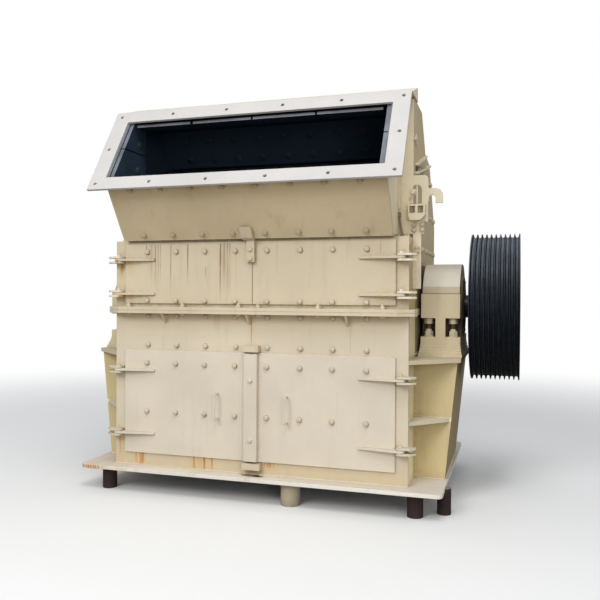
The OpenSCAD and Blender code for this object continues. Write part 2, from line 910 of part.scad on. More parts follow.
// Bearing housing with a round top, foot bolt pockets and shims below
module bearing_housing() {
    shim_t = 58;
    shims = [[12, 34], [9, 22], [6, 12], [4, 4]];
    foot_t = 42;
    pocket_h = 96;
    split_z = 67;
    pocket_w = (housing_w - 40) / 2;
    half_l = housing_foot_l / 2;
    foot_z = shelf_z + shim_t;
    color(cream) on_base() difference() {
        union() {
            for (i = [0:3])
                translate([housing_x - shims[i][0], axis_y - half_l - shims[i][1], shelf_z + i * shim_t / 4])
                    cube([housing_w + 2 * shims[i][0], housing_foot_l + 2 * shims[i][1], shim_t / 4]);
            translate([housing_x - 2, axis_y - half_l, foot_z])
                cube([housing_w + 4, housing_foot_l, foot_t]);
            translate([housing_x, axis_y - half_l, foot_z])
                cube([housing_w, housing_foot_l, axis_z + split_z - foot_z]);
            translate([housing_x + 4, axis_y, axis_z]) rotate([0, 90, 0])
                cylinder(h = housing_w - 8, r = housing_r);
        }
        for (side = [0, 1], k = [0, 1])
            translate([housing_x + (k == 0 ? -5 : housing_w - pocket_w + 5),
                side == 0 ? axis_y - half_l - 1 : axis_y + half_l - 69, foot_z + foot_t])
                cube([pocket_w, 70, pocket_h]);
        translate([housing_x - 1, axis_y, axis_z]) rotate([0, 90, 0])
            cylinder(h = housing_w + 2, r = shaft_d / 2 + shaft_play);
    }
}

module bearing_housing_right() {
    bearing_housing();
}

module bearing_housing_left() {
    translate([-2 * mid_x, 0, 0]) mirror([1, 0, 0]) bearing_housing();
}

// Runs a child's Z axis along the rotor axis
module on_axis(x) {
    on_base() translate([x, axis_y, axis_z]) rotate([0, 90, 0]) children();
}

rotor_core_r = 170;
shaft_left = -(housing_x + housing_w + 6);

module rotor_shaft() {
    color(steel) on_axis(shaft_left) cylinder(h = high_x - shaft_end - shaft_left, d = shaft_d);
}

bar_count = 4;
bar_section = [64, 150];
disc_count = 6;
disc_t = 50;

module rotor_body() {
    disc_r = rotor_r - 45;
    color(dark) on_axis(-rotor_l / 2) difference() {
        union() {
            cylinder(h = rotor_l, r = rotor_core_r);
            for (i = [0:disc_count - 1])
                translate([0, 0, i * (rotor_l - disc_t) / (disc_count - 1)])
                    cylinder(h = disc_t, r = disc_r);
        }
        translate([0, 0, -1]) cylinder(h = rotor_l + 2, d = shaft_d);
        for (i = [0:bar_count - 1]) rotate([0, 0, 45 + i * 360 / bar_count])
            translate([rotor_r - bar_section[1], -bar_section[0] / 2, -1])
                cube([bar_section[1] + 1, bar_section[0], rotor_l + 2]);
    }
}

module blow_bars() {
    color(steel) on_axis(-rotor_l / 2) for (i = [0:bar_count - 1])
        rotate([0, 0, 45 + i * 360 / bar_count])
            translate([rotor_r - bar_section[1], -bar_section[0] / 2, 0])
                cube([bar_section[1], bar_section[0], rotor_l]);
}

// Rim section of the pulley, with its row of V grooves
module pulley() {
    outer = pulley_d / 2;
    edge = (pulley_w - groove_count * groove_pitch) / 2;
    half_mouth = 10.5;
    half_root = 5.5;
    rim_in = outer - groove_depth - 24;
    hub_r = 115;
    web_t = 34;
    grooves = [for (i = [0:groove_count - 1], p = [
        [outer, -half_mouth], [outer - groove_depth, -half_root],
        [outer - groove_depth, half_root], [outer, half_mouth]
    ]) [p[0], p[1] + edge + (i + 0.5) * groove_pitch]];
    color(dark) on_axis(pulley_x) difference() {
        rotate_extrude() polygon(concat(
            [[shaft_d / 2, 0], [hub_r, 0], [hub_r, (pulley_w - web_t) / 2],
                [rim_in, (pulley_w - web_t) / 2], [rim_in, 0], [outer, 0]],
            grooves,
            [[outer, pulley_w], [rim_in, pulley_w], [rim_in, (pulley_w + web_t) / 2],
                [hub_r, (pulley_w + web_t) / 2], [hub_r, pulley_w], [shaft_d / 2, pulley_w]]
        ));
        for (i = [0:5]) rotate([0, 0, i * 60])
            translate([(hub_r + rim_in) / 2, 0, 0]) cylinder(h = pulley_w, d = 110);
    }
}

// Lower tip of the upper impact apron, just clear of the rotor, and its upper end
apron_tip = [axis_y, axis_z] + (rotor_r + apron_gap) * [cos(50.8), sin(50.8)];
apron_head = apron_tip + apron_h * [-0.878, 1];

module impact_apron_upper() {
    color(dark) on_base() across(
        [apron_head, apron_head + apron_h * [0.106, 0.035], apron_head + apron_h * [0.435, -0.188],
            apron_tip + apron_h * [0.052, 0.271], apron_tip + apron_h * [0.122, 0.047], apron_tip,
            apron_tip + apron_h * [-0.16, 0.224]],
        -inner_x, 2 * inner_x);
}

// Plate between the rotor and the rear wall
module impact_apron_lower() {
    back = [rear_in, axis_z];
    shape = [[-0.225, 0.743], [-0.111, 0.732], [-0.043, 0.107], [-0.089, -0.257],
        [-0.145, -0.166], [-0.134, 0.22], [-0.236, 0.607]];
    color(dark) on_base() across([for (p = shape) back + rear_apron_h * p], -inner_x, 2 * inner_x);
}

base_plate();
corner_feet();
edge_foot();
middle_feet();
lower_front_wall();
lower_side_wall_left();
lower_side_wall_right();
lower_rear_wall();
lower_flange();
upper_flange();
upper_front_wall();
upper_side_wall_left();
upper_side_wall_right();
upper_rear_wall();
roof_top();
roof_drop();
roof_shoulder();
roof_rear();
top_beam();
hopper_front_plate();
hopper_side_left();
hopper_side_right();
feed_flange();
liners_top();
liners_side();
liners_bottom();
ear_plate_left();
ear_plate_right();
side_ribs_left();
side_ribs_right();
upper_door_left();
upper_door_right();
upper_hinges_left();
upper_hinges_right();
upper_clamp();
lower_door_left();
lower_door_right();
lower_hinges_left();
lower_hinges_right();
lock_bar();
lock_keepers();
bearing_pedestal_left();
bearing_pedestal_right();
bearing_housing_left();
bearing_housing_right();
rotor_shaft();
rotor_body();
blow_bars();
pulley();
impact_apron_upper();
impact_apron_lower();
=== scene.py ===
"""Looks of the impact crusher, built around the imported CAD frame. Metres, +Z up, +Y to the back."""

import json
import math
import random

import bmesh
import bpy
from mathutils import Matrix, Vector


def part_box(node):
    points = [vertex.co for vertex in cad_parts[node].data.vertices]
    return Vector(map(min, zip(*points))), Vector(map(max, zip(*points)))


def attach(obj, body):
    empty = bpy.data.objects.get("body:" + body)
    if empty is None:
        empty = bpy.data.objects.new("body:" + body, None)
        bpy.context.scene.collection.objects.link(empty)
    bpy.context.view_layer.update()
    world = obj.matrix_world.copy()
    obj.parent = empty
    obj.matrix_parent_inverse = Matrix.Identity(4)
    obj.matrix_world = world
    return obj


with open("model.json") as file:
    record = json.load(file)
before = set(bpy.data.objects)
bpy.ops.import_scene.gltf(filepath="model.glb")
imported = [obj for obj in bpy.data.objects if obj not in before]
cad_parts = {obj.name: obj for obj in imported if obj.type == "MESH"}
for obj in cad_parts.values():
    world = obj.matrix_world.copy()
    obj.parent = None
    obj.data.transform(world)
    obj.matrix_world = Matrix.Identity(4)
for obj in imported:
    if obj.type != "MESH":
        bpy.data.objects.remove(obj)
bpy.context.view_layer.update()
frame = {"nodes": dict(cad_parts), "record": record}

RANDOM = random.Random(7)

# Places in the frame that the pieces below are measured from
BASE_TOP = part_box("base_plate")[1].z
WALL_LOW, WALL_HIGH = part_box("lower_front_wall")
MID_X = (WALL_LOW.x + WALL_HIGH.x) / 2
FRONT_Y = WALL_LOW.y
REAR_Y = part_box("lower_rear_wall")[1].y
SIDE_X = (WALL_HIGH.x - WALL_LOW.x) / 2
AXIS_Y = (FRONT_Y + REAR_Y) / 2
DOOR_FACE_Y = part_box("upper_clamp")[1].y
PULLEY_LOW, PULLEY_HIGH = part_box("pulley")
AXIS_Z = (PULLEY_LOW.z + PULLEY_HIGH.z) / 2
CHAMBER = (MID_X, AXIS_Y - 0.05, BASE_TOP + 1.25)


# Camera, placed as in the photograph
CAMERA_PLACE = (1.1266, -3.7315, 1.0424)
CAMERA_YAW = math.radians(17.1484)
CAMERA_PITCH = math.radians(-0.3554)
CAMERA_ROLL = math.radians(0.312)
SENSOR = 36.0
FOCAL_SHARE = 692.99 / 600


def make_camera():
    data = bpy.data.cameras.new("camera")
    data.sensor_fit = "HORIZONTAL"
    data.sensor_width = SENSOR
    data.lens = SENSOR * FOCAL_SHARE
    data.clip_end = 200
    camera = bpy.data.objects.new("camera", data)
    bpy.context.scene.collection.objects.link(camera)
    turn = Matrix.Rotation(CAMERA_YAW, 4, "Z")
    tip = Matrix.Rotation(math.radians(90) + CAMERA_PITCH, 4, "X")
    roll = Matrix.Rotation(CAMERA_ROLL, 4, "Z")
    camera.matrix_world = Matrix.Translation(CAMERA_PLACE) @ turn @ tip @ roll
    bpy.context.scene.camera = camera


def make_lamp(name, place, target, size, power, colour=(1, 1, 1)):
    data = bpy.data.lights.new(name, "AREA")
    data.shape = "DISK"
    data.size = size
    data.energy = power
    data.color = colour
    lamp = bpy.data.objects.new(name, data)
    bpy.context.scene.collection.objects.link(lamp)
    lamp.location = place
    aim = Vector(target) - Vector(place)
    lamp.rotation_euler = aim.to_track_quat("-Z", "Y").to_euler()


def add(tree, kind, inputs=None, **settings):
    """Adds a node, sets its properties, and fills or links its inputs."""
    made = tree.nodes.new(kind)
    for key, value in settings.items():
        setattr(made, key, value)
    for key, value in (inputs or {}).items():
        socket = made.inputs[key]
        if isinstance(value, bpy.types.NodeSocket):
            tree.links.new(value, socket)
        else:
            socket.default_value = value
    return made


def math_node(tree, operation, first, second=0.0, clamp=False):
    made = add(tree, "ShaderNodeMath", {0: first, 1: second}, operation=operation, use_clamp=clamp)
    return made.outputs[0]


def ramp(tree, value, low, high, to_low=0.0, to_high=1.0):
    """A smooth step from to_low to to_high as value goes from low to high."""
    made = add(tree, "ShaderNodeMapRange", {0: value, 1: low, 2: high, 3: to_low, 4: to_high},
               interpolation_type="SMOOTHSTEP")
    return made.outputs[0]


def blend_colour(tree, factor, first, second, kind="MIX"):
    made = add(tree, "ShaderNodeMix", {0: factor, 6: first, 7: second}, data_type="RGBA", blend_type=kind)
    return made.outputs[2]


def noise(tree, vector, scale, detail=4.0, rough=0.55):
    made = add(tree, "ShaderNodeTexNoise",
               {"Vector": vector, "Scale": scale, "Detail": detail, "Roughness": rough})
    return made.outputs[0]


def stretched(tree, vector, scale):
    made = add(tree, "ShaderNodeMapping", {"Vector": vector, "Scale": scale})
    return made.outputs[0]


def new_material(name):
    material = bpy.data.materials.new(name)
    material.use_nodes = True
    material.node_tree.nodes.clear()
    return material


def edge_mask(tree, radius):
    """About 1 on edges rounder than the radius, 0 on flat faces."""
    bevel = add(tree, "ShaderNodeBevel", {"Radius": radius}, samples=4)
    flat = add(tree, "ShaderNodeNewGeometry").outputs["Normal"]
    dot = add(tree, "ShaderNodeVectorMath", {0: bevel.outputs[0], 1: flat}, operation="DOT_PRODUCT")
    return ramp(tree, dot.outputs["Value"], 0.995, 0.9), bevel.outputs[0]


def streak_mask(tree, position, streaks, wobble):
    """Sum of the runs given as (x, top, length, half width, strength), fading downwards."""
    total = 0.0
    for x, top, length, half, strength in streaks:
        across = math_node(tree, "SUBTRACT", position.outputs[0], x)
        across = math_node(tree, "ADD", across, math_node(tree, "MULTIPLY", wobble, half * 0.8))
        side = ramp(tree, math_node(tree, "ABSOLUTE", across), 0.15 * half, half, strength, 0.0)
        down = math_node(tree, "SUBTRACT", top, position.outputs[2])
        start = ramp(tree, down, -0.002, 0.004)
        fade = ramp(tree, down, 0.2 * length, length, 1.0, 0.0)
        one = math_node(tree, "MULTIPLY", math_node(tree, "MULTIPLY", side, start), fade)
        total = math_node(tree, "ADD", one, total, clamp=True)
    return total


RUST = (0.52, 0.17, 0.035, 1)
AMBER = (0.68, 0.47, 0.16, 1)
DEEP_RUST = (0.16, 0.065, 0.03, 1)
DIRT = (0.22, 0.15, 0.08, 1)
DUST = (0.44, 0.37, 0.31, 1)
SOOT = (0.27, 0.155, 0.075, 1)
# Colour of the level stains and of the painted shade below the flange.
STAIN_AND_SHADE = (0.56, 0.42, 0.19, 1)
INSIDE = (0.031, 0.054, 0.086, 1)

# Half the soft edge of a level band, and how far corners gather dirt and painted shade
BAND_EDGE = 0.002
CORNER_REACH = 0.06


def inside_mask(tree):
    """1 on faces that look towards the middle of the crushing chamber, 0 on the outside."""
    shape = add(tree, "ShaderNodeNewGeometry")
    away = add(tree, "ShaderNodeVectorMath", {0: CHAMBER, 1: shape.outputs["Position"]}, operation="SUBTRACT")
    dot = add(tree, "ShaderNodeVectorMath", {0: away.outputs[0], 1: shape.outputs["True Normal"]},
              operation="DOT_PRODUCT")
    return ramp(tree, dot.outputs["Value"], 0.0, 0.02)


def opaque(colour):
    return tuple(colour) + (1,)


def shaded(colour, share):
    """The colour made lighter or darker by a share, at most white."""
    return [min(1, part * share) for part in colour] + [1]


def normal_part(tree, kind, axis):
    """One part of the surface's normal in the world: 0 across, 1 back, 2 up."""
    normal = add(tree, "ShaderNodeNewGeometry").outputs[kind]
    return add(tree, "ShaderNodeSeparateXYZ", {0: normal}).outputs[axis]


def painted(tree, height, cloudy, colour, bands, flank):
    """The paint's colour in light clouds, with its level bands, some of them painted light and painted shade,
    and a painted shade on faces across X.
    """
    tint = blend_colour(tree, ramp(tree, cloudy, 0.3, 0.72), shaded(colour, 0.93), shaded(colour, 1.05))
    for low, high, shade, strength in bands:
        above = ramp(tree, height, low - BAND_EDGE, low + BAND_EDGE)
        below = ramp(tree, height, high - BAND_EDGE, high + BAND_EDGE, strength, 0)
        tint = blend_colour(tree, math_node(tree, "MULTIPLY", above, below), tint, opaque(shade))
    # Faces across X darkened towards the flank colour: painted shade.
    if flank:
        sideways = ramp(tree, math_node(tree, "ABSOLUTE", normal_part(tree, "True Normal", 0)), 0.6, 0.9)
        tint = blend_colour(tree, sideways, tint, opaque(flank))
    return tint


def grimy_and_shaded(tree, tint, place, fine, grime_and_shade):
    """Dirt in faint runs and in specks, and dirt and painted shade in the corners."""
    runs = noise(tree, stretched(tree, place, (11, 11, 0.9)), 1.6, 5.0, 0.6)
    tint = blend_colour(tree, ramp(tree, runs, 0.52, 0.80, 0, grime_and_shade * 0.55), tint, DIRT)
    tint = blend_colour(tree, ramp(tree, fine, 0.60, 0.78, 0, grime_and_shade * 0.45), tint, DIRT)
    # Darker where ambient occlusion finds corners: dirt and painted shade.
    corner = add(tree, "ShaderNodeAmbientOcclusion", {"Distance": CORNER_REACH}, samples=6)
    corner_dirt_and_shade = ramp(tree, corner.outputs["AO"], 0.35, 0.95, grime_and_shade, 0.0)
    corner_dirt_and_shade = math_node(tree, "MULTIPLY", corner_dirt_and_shade, ramp(tree, fine, 0.35, 0.6, 0.4, 1.0))
    return blend_colour(tree, corner_dirt_and_shade, tint, DIRT)


def chipped(tree, tint, place, colour, edge, wear, rust):
    """Lighter worn edges, chips in them and small rust spots."""
    chips = math_node(tree, "MULTIPLY", edge, ramp(tree, noise(tree, place, 60.0, 5.0), 0.50, 0.62))
    tint = blend_colour(tree, math_node(tree, "MULTIPLY", edge, wear), tint, shaded(colour, 1.18))
    tint = blend_colour(tree, math_node(tree, "MULTIPLY", chips, rust), tint, DEEP_RUST)
    spots = ramp(tree, noise(tree, place, 85.0, 3.0, 0.5), 0.70, 0.76, 0, rust)
    return blend_colour(tree, spots, tint, RUST)


def stained_and_shaded(tree, tint, place, cloudy, stains_and_shade, brown, orange):
    """Stains and painted shade that grow towards a level, then brown runs and rust runs at their places."""
    position = add(tree, "ShaderNodeSeparateXYZ", {0: place})
    wobble = math_node(tree, "SUBTRACT", noise(tree, stretched(tree, place, (30, 30, 6)), 1.0, 3.0), 0.5)
    streaky = ramp(tree, noise(tree, stretched(tree, place, (160, 160, 7)), 1.0, 4.0), 0.32, 0.60, 0.25, 1)
    for low, high, strength in stains_and_shade:
        fade = ramp(tree, position.outputs[2], low, high, 0.0, strength)
        fade = math_node(tree, "MULTIPLY", fade, ramp(tree, cloudy, 0.25, 0.6, 0.6, 1.0))
        tint = blend_colour(tree, fade, tint, STAIN_AND_SHADE)
    if brown:
        mask = math_node(tree, "MULTIPLY", streak_mask(tree, position, brown, wobble), streaky)
        tint = blend_colour(tree, mask, tint, SOOT)
    if orange:
        mask = math_node(tree, "MULTIPLY", streak_mask(tree, position, orange, wobble), streaky)
        rusty = blend_colour(tree, ramp(tree, mask, 0.35, 0.8), AMBER, RUST)
        tint = blend_colour(tree, mask, tint, rusty)
    return tint


def dusted(tree, tint, cloudy):
    """Dust settled on what looks up."""
    settled = math_node(tree, "MULTIPLY", ramp(tree, normal_part(tree, "Normal", 2), 0.75, 0.98, 0, 0.55),
                        ramp(tree, cloudy, 0.30, 0.62, 0.35, 1.0))
    return blend_colour(tree, settled, tint, DUST)


def paint(name, colour, rough=0.48, grime_and_shade=0.35, rust=0.2, wear=0.35, orange=(), brown=(), stains_and_shade=(),
          bands=(), flank=None, shell=False):
    """Weathered machine paint: mottling, runs, dust, chipped edges and rust runs at given places, with
    painted shade in the corners and painted light and shade in the given bands, level stains and side faces.
    """
    material = new_material(name)
    tree = material.node_tree
    place = add(tree, "ShaderNodeTexCoord").outputs["Object"]
    height = add(tree, "ShaderNodeSeparateXYZ", {0: place}).outputs[2]
    cloudy = noise(tree, place, 2.2, 5.0)
    fine = noise(tree, place, 38.0, 6.0, 0.65)
    edge, rounded = edge_mask(tree, 0.003)
    tint = painted(tree, height, cloudy, colour, bands, flank)
    tint = grimy_and_shaded(tree, tint, place, fine, grime_and_shade)
    tint = chipped(tree, tint, place, colour, edge, wear, rust)
    tint = stained_and_shaded(tree, tint, place, cloudy, stains_and_shade, brown, orange)
    tint = dusted(tree, tint, cloudy)
    if shell:
        tint = blend_colour(tree, inside_mask(tree), tint, INSIDE)
    grain = math_node(tree, "ADD", math_node(tree, "MULTIPLY", fine, 0.25), noise(tree, place, 260.0, 2.0))
    bump = add(tree, "ShaderNodeBump", {"Strength": 0.12, "Distance": 0.0012, "Height": grain,
                                        "Normal": rounded})
    shine = ramp(tree, cloudy, 0.3, 0.7, rough - 0.06, rough + 0.12)
    shader = add(tree, "ShaderNodeBsdfPrincipled", {"Base Color": tint, "Roughness": shine,
                                                    "Normal": bump.outputs[0]})
    add(tree, "ShaderNodeOutputMaterial", {0: shader.outputs[0]})
    material.diffuse_color = opaque(colour)
    return material


def metal(name, colour, edge_colour, rough, metallic, grain=(1, 1, 1), spots=0.1, sky_reflection=None, specular=0.3):
    """Bare or blackened steel with scratched edges, scale and a little rust, and where given a painted sky
    reflection on faces that look up.
    """
    material = new_material(name)
    tree = material.node_tree
    place = add(tree, "ShaderNodeTexCoord").outputs["Object"]
    fine = noise(tree, stretched(tree, place, grain), 45.0, 6.0, 0.65)
    cloudy = noise(tree, place, 6.0, 5.0)
    tint = blend_colour(tree, ramp(tree, cloudy, 0.3, 0.7), shaded(colour, 0.75), shaded(colour, 1.25))
    tint = blend_colour(tree, ramp(tree, fine, 0.66, 0.78, 0, spots), tint, DEEP_RUST)
    edge, rounded = edge_mask(tree, 0.002)
    scuffs = math_node(tree, "MULTIPLY", edge, ramp(tree, noise(tree, place, 30.0, 4.0), 0.35, 0.6, 0.25, 1))
    tint = blend_colour(tree, scuffs, tint, opaque(edge_colour))
    # Upward faces tinted bluish grey: painted reflection of the sky.
    if sky_reflection:
        sky_sheen = math_node(tree, "MULTIPLY", ramp(tree, normal_part(tree, "True Normal", 2), 0.15, 0.95),
                         ramp(tree, cloudy, 0.3, 0.7, 0.6, 1.0))
        tint = blend_colour(tree, sky_sheen, tint, opaque(sky_reflection))
    bump = add(tree, "ShaderNodeBump", {"Strength": 0.2, "Distance": 0.0015, "Height": fine,
                                        "Normal": rounded})
    shine = ramp(tree, fine, 0.3, 0.7, rough - 0.08, rough + 0.1)
    shader = add(tree, "ShaderNodeBsdfPrincipled", {"Base Color": tint, "Roughness": shine,
                                                    "Metallic": metallic, "Specular IOR Level": specular,
                                                    "Normal": bump.outputs[0]})
    add(tree, "ShaderNodeOutputMaterial", {0: shader.outputs[0]})
    return material


CREAM = (0.715, 0.615, 0.435)
FRONT = (0.745, 0.65, 0.49)
PALE = (0.60, 0.58, 0.56)
# Darker olive copy of the cream for the upper side walls: painted shade.
SIDE_WALL_SHADE = (0.62, 0.475, 0.22)
# Colour for the pedestals' faces across X: painted shade.
SIDE_SHADE = (0.42, 0.32, 0.16)
SHELF_EDGE_HIGHLIGHT = (0.93, 0.85, 0.66)


def at(x, height):
    """X and Z of a place on the front, from the casing's middle and the base plate's top."""
    return MID_X + x, BASE_TOP + height


def run(x, top, length, half, strength):
    """A run that starts at a place counted as in at."""
    place = at(x, top)
    return place[0], place[1], length, half, strength


WALL_ORANGE = (
    run(-0.765, 0.163, 0.17, 0.007, 1.0), run(-0.757, 0.165, 0.25, 0.036, 0.50),
    run(-0.634, 0.066, 0.24, 0.013, 2.6), run(-0.628, 0.066, 0.14, 0.038, 0.60),
    run(-0.665, 0.066, 0.09, 0.012, 0.5), run(-0.674, 0.060, 0.13, 0.028, 0.40),
    run(-0.335, 0.066, 0.16, 0.030, 0.55), run(-0.322, 0.066, 0.13, 0.007, 0.60),
    run(-0.290, 0.066, 0.16, 0.055, 0.55), run(-0.268, 0.066, 0.13, 0.010, 0.65),
    run(-0.223, 0.066, 0.13, 0.007, 0.60), run(-0.23, 0.066, 0.16, 0.040, 0.40),
    run(-0.44, 0.066, 0.04, 0.04, 0.25), run(-0.135, 0.066, 0.05, 0.03, 0.35),
    run(0.09, 0.066, 0.055, 0.06, 0.75), run(0.045, 0.066, 0.05, 0.012, 0.9),
    run(0.30, 0.066, 0.05, 0.04, 0.30), run(0.66, 0.066, 0.06, 0.03, 0.25),
    run(-0.008, 0.80, 0.22, 0.006, 0.25), run(-0.003, 0.80, 0.18, 0.03, 0.25),
    run(-0.765, 0.80, 0.06, 0.02, 0.4), run(0.755, 0.80, 0.05, 0.02, 0.35),
)
# Darker towards the flange above the lower wall: painted shade; darker and yellower towards the base plate: a
# stain.
WALL_STAINS_AND_SHADE = (
    (BASE_TOP + 0.700, BASE_TOP + 0.813, 0.34), (BASE_TOP + 0.130, BASE_TOP + 0.015, 0.42),
)
WALL_BROWN = (
    run(-0.2, 0.81, 0.10, 0.03, 0.25), run(0.5, 0.81, 0.12, 0.03, 0.2),
    run(-0.009, 0.80, 0.22, 0.005, 1.0),
    run(-0.005, 0.045, 0.06, 0.060, 0.9), run(0.046, 0.052, 0.05, 0.008, 0.9),
)
DOOR_ORANGE = (run(-0.60, 0.30, 0.05, 0.012, 0.25),)
PLATE_ORANGE = (
    run(-0.93, 0.0, 0.06, 0.09, 0.9), run(-0.84, 0.0, 0.06, 0.09, 0.7), run(-0.72, 0.0, 0.05, 0.07, 0.5),
    run(-0.62, 0.0, 0.03, 0.02, 0.3),
    run(-0.30, 0.0, 0.025, 0.05, 0.3), run(0.0, 0.0, 0.03, 0.03, 0.4),
)
UPPER_ORANGE = (
    run(-0.70, 1.10, 0.12, 0.03, 0.45), run(0.655, 0.93, 0.06, 0.02, 0.4),
    run(-0.757, 1.095, 0.12, 0.012, 0.55), run(-0.757, 1.10, 0.24, 0.034, 0.5),
    run(-0.745, 0.905, 0.05, 0.018, 1.0),
    run(-0.700, 0.905, 0.035, 0.03, 0.7), run(-0.09, 1.16, 0.29, 0.006, 0.6),
    run(0.745, 1.08, 0.07, 0.012, 0.5),
)
UPPER_BROWN = (
    run(-0.459, 1.176, 0.33, 0.0055, 0.95), run(-0.361, 1.176, 0.24, 0.0055, 0.95),
    run(-0.177, 1.176, 0.36, 0.0060, 0.95), run(-0.156, 1.176, 0.30, 0.0045, 0.7),
    run(-0.138, 1.176, 0.34, 0.0045, 0.75), run(-0.124, 1.176, 0.30, 0.0050, 0.7),
    run(-0.604, 1.176, 0.10, 0.0045, 0.7), run(-0.574, 1.176, 0.26, 0.0040, 0.5),
    run(-0.550, 1.176, 0.30, 0.0045, 0.55), run(-0.533, 1.176, 0.24, 0.0040, 0.5),
    run(-0.520, 1.176, 0.28, 0.0045, 0.55), run(-0.259, 1.060, 0.09, 0.0050, 0.7),
    run(-0.15, 1.176, 0.30, 0.045, 0.30), run(-0.56, 1.176, 0.25, 0.05, 0.22),
    run(0.13, 1.176, 0.2, 0.006, 0.3), run(0.655, 1.176, 0.10, 0.004, 0.6),
)


# Lighter bands on the front edges of the pedestals' shelves: painted light.
PEDESTAL_EDGE_LIGHT = (
    (BASE_TOP + 0.583, BASE_TOP + 0.604, CREAM, 0.9), (BASE_TOP + 0.287, BASE_TOP + 0.309, SHELF_EDGE_HIGHLIGHT, 1.0),
)
# Bearing housing bands: a lighter, greyer cap of dust and painted sky light, a darker band below it, the dark
# joint line and the body's tone.
HOUSING_BANDS = (
    (BASE_TOP + 0.960, BASE_TOP + 1.09, (0.77, 0.73, 0.63), 0.8),
    (BASE_TOP + 0.926, BASE_TOP + 0.960, (0.52, 0.44, 0.31), 0.7),
    (BASE_TOP + 0.9215, BASE_TOP + 0.9265, (0.12, 0.08, 0.05), 0.9),
    (BASE_TOP + 0.60, BASE_TOP + 0.9215, (0.72, 0.62, 0.39), 0.7),
)


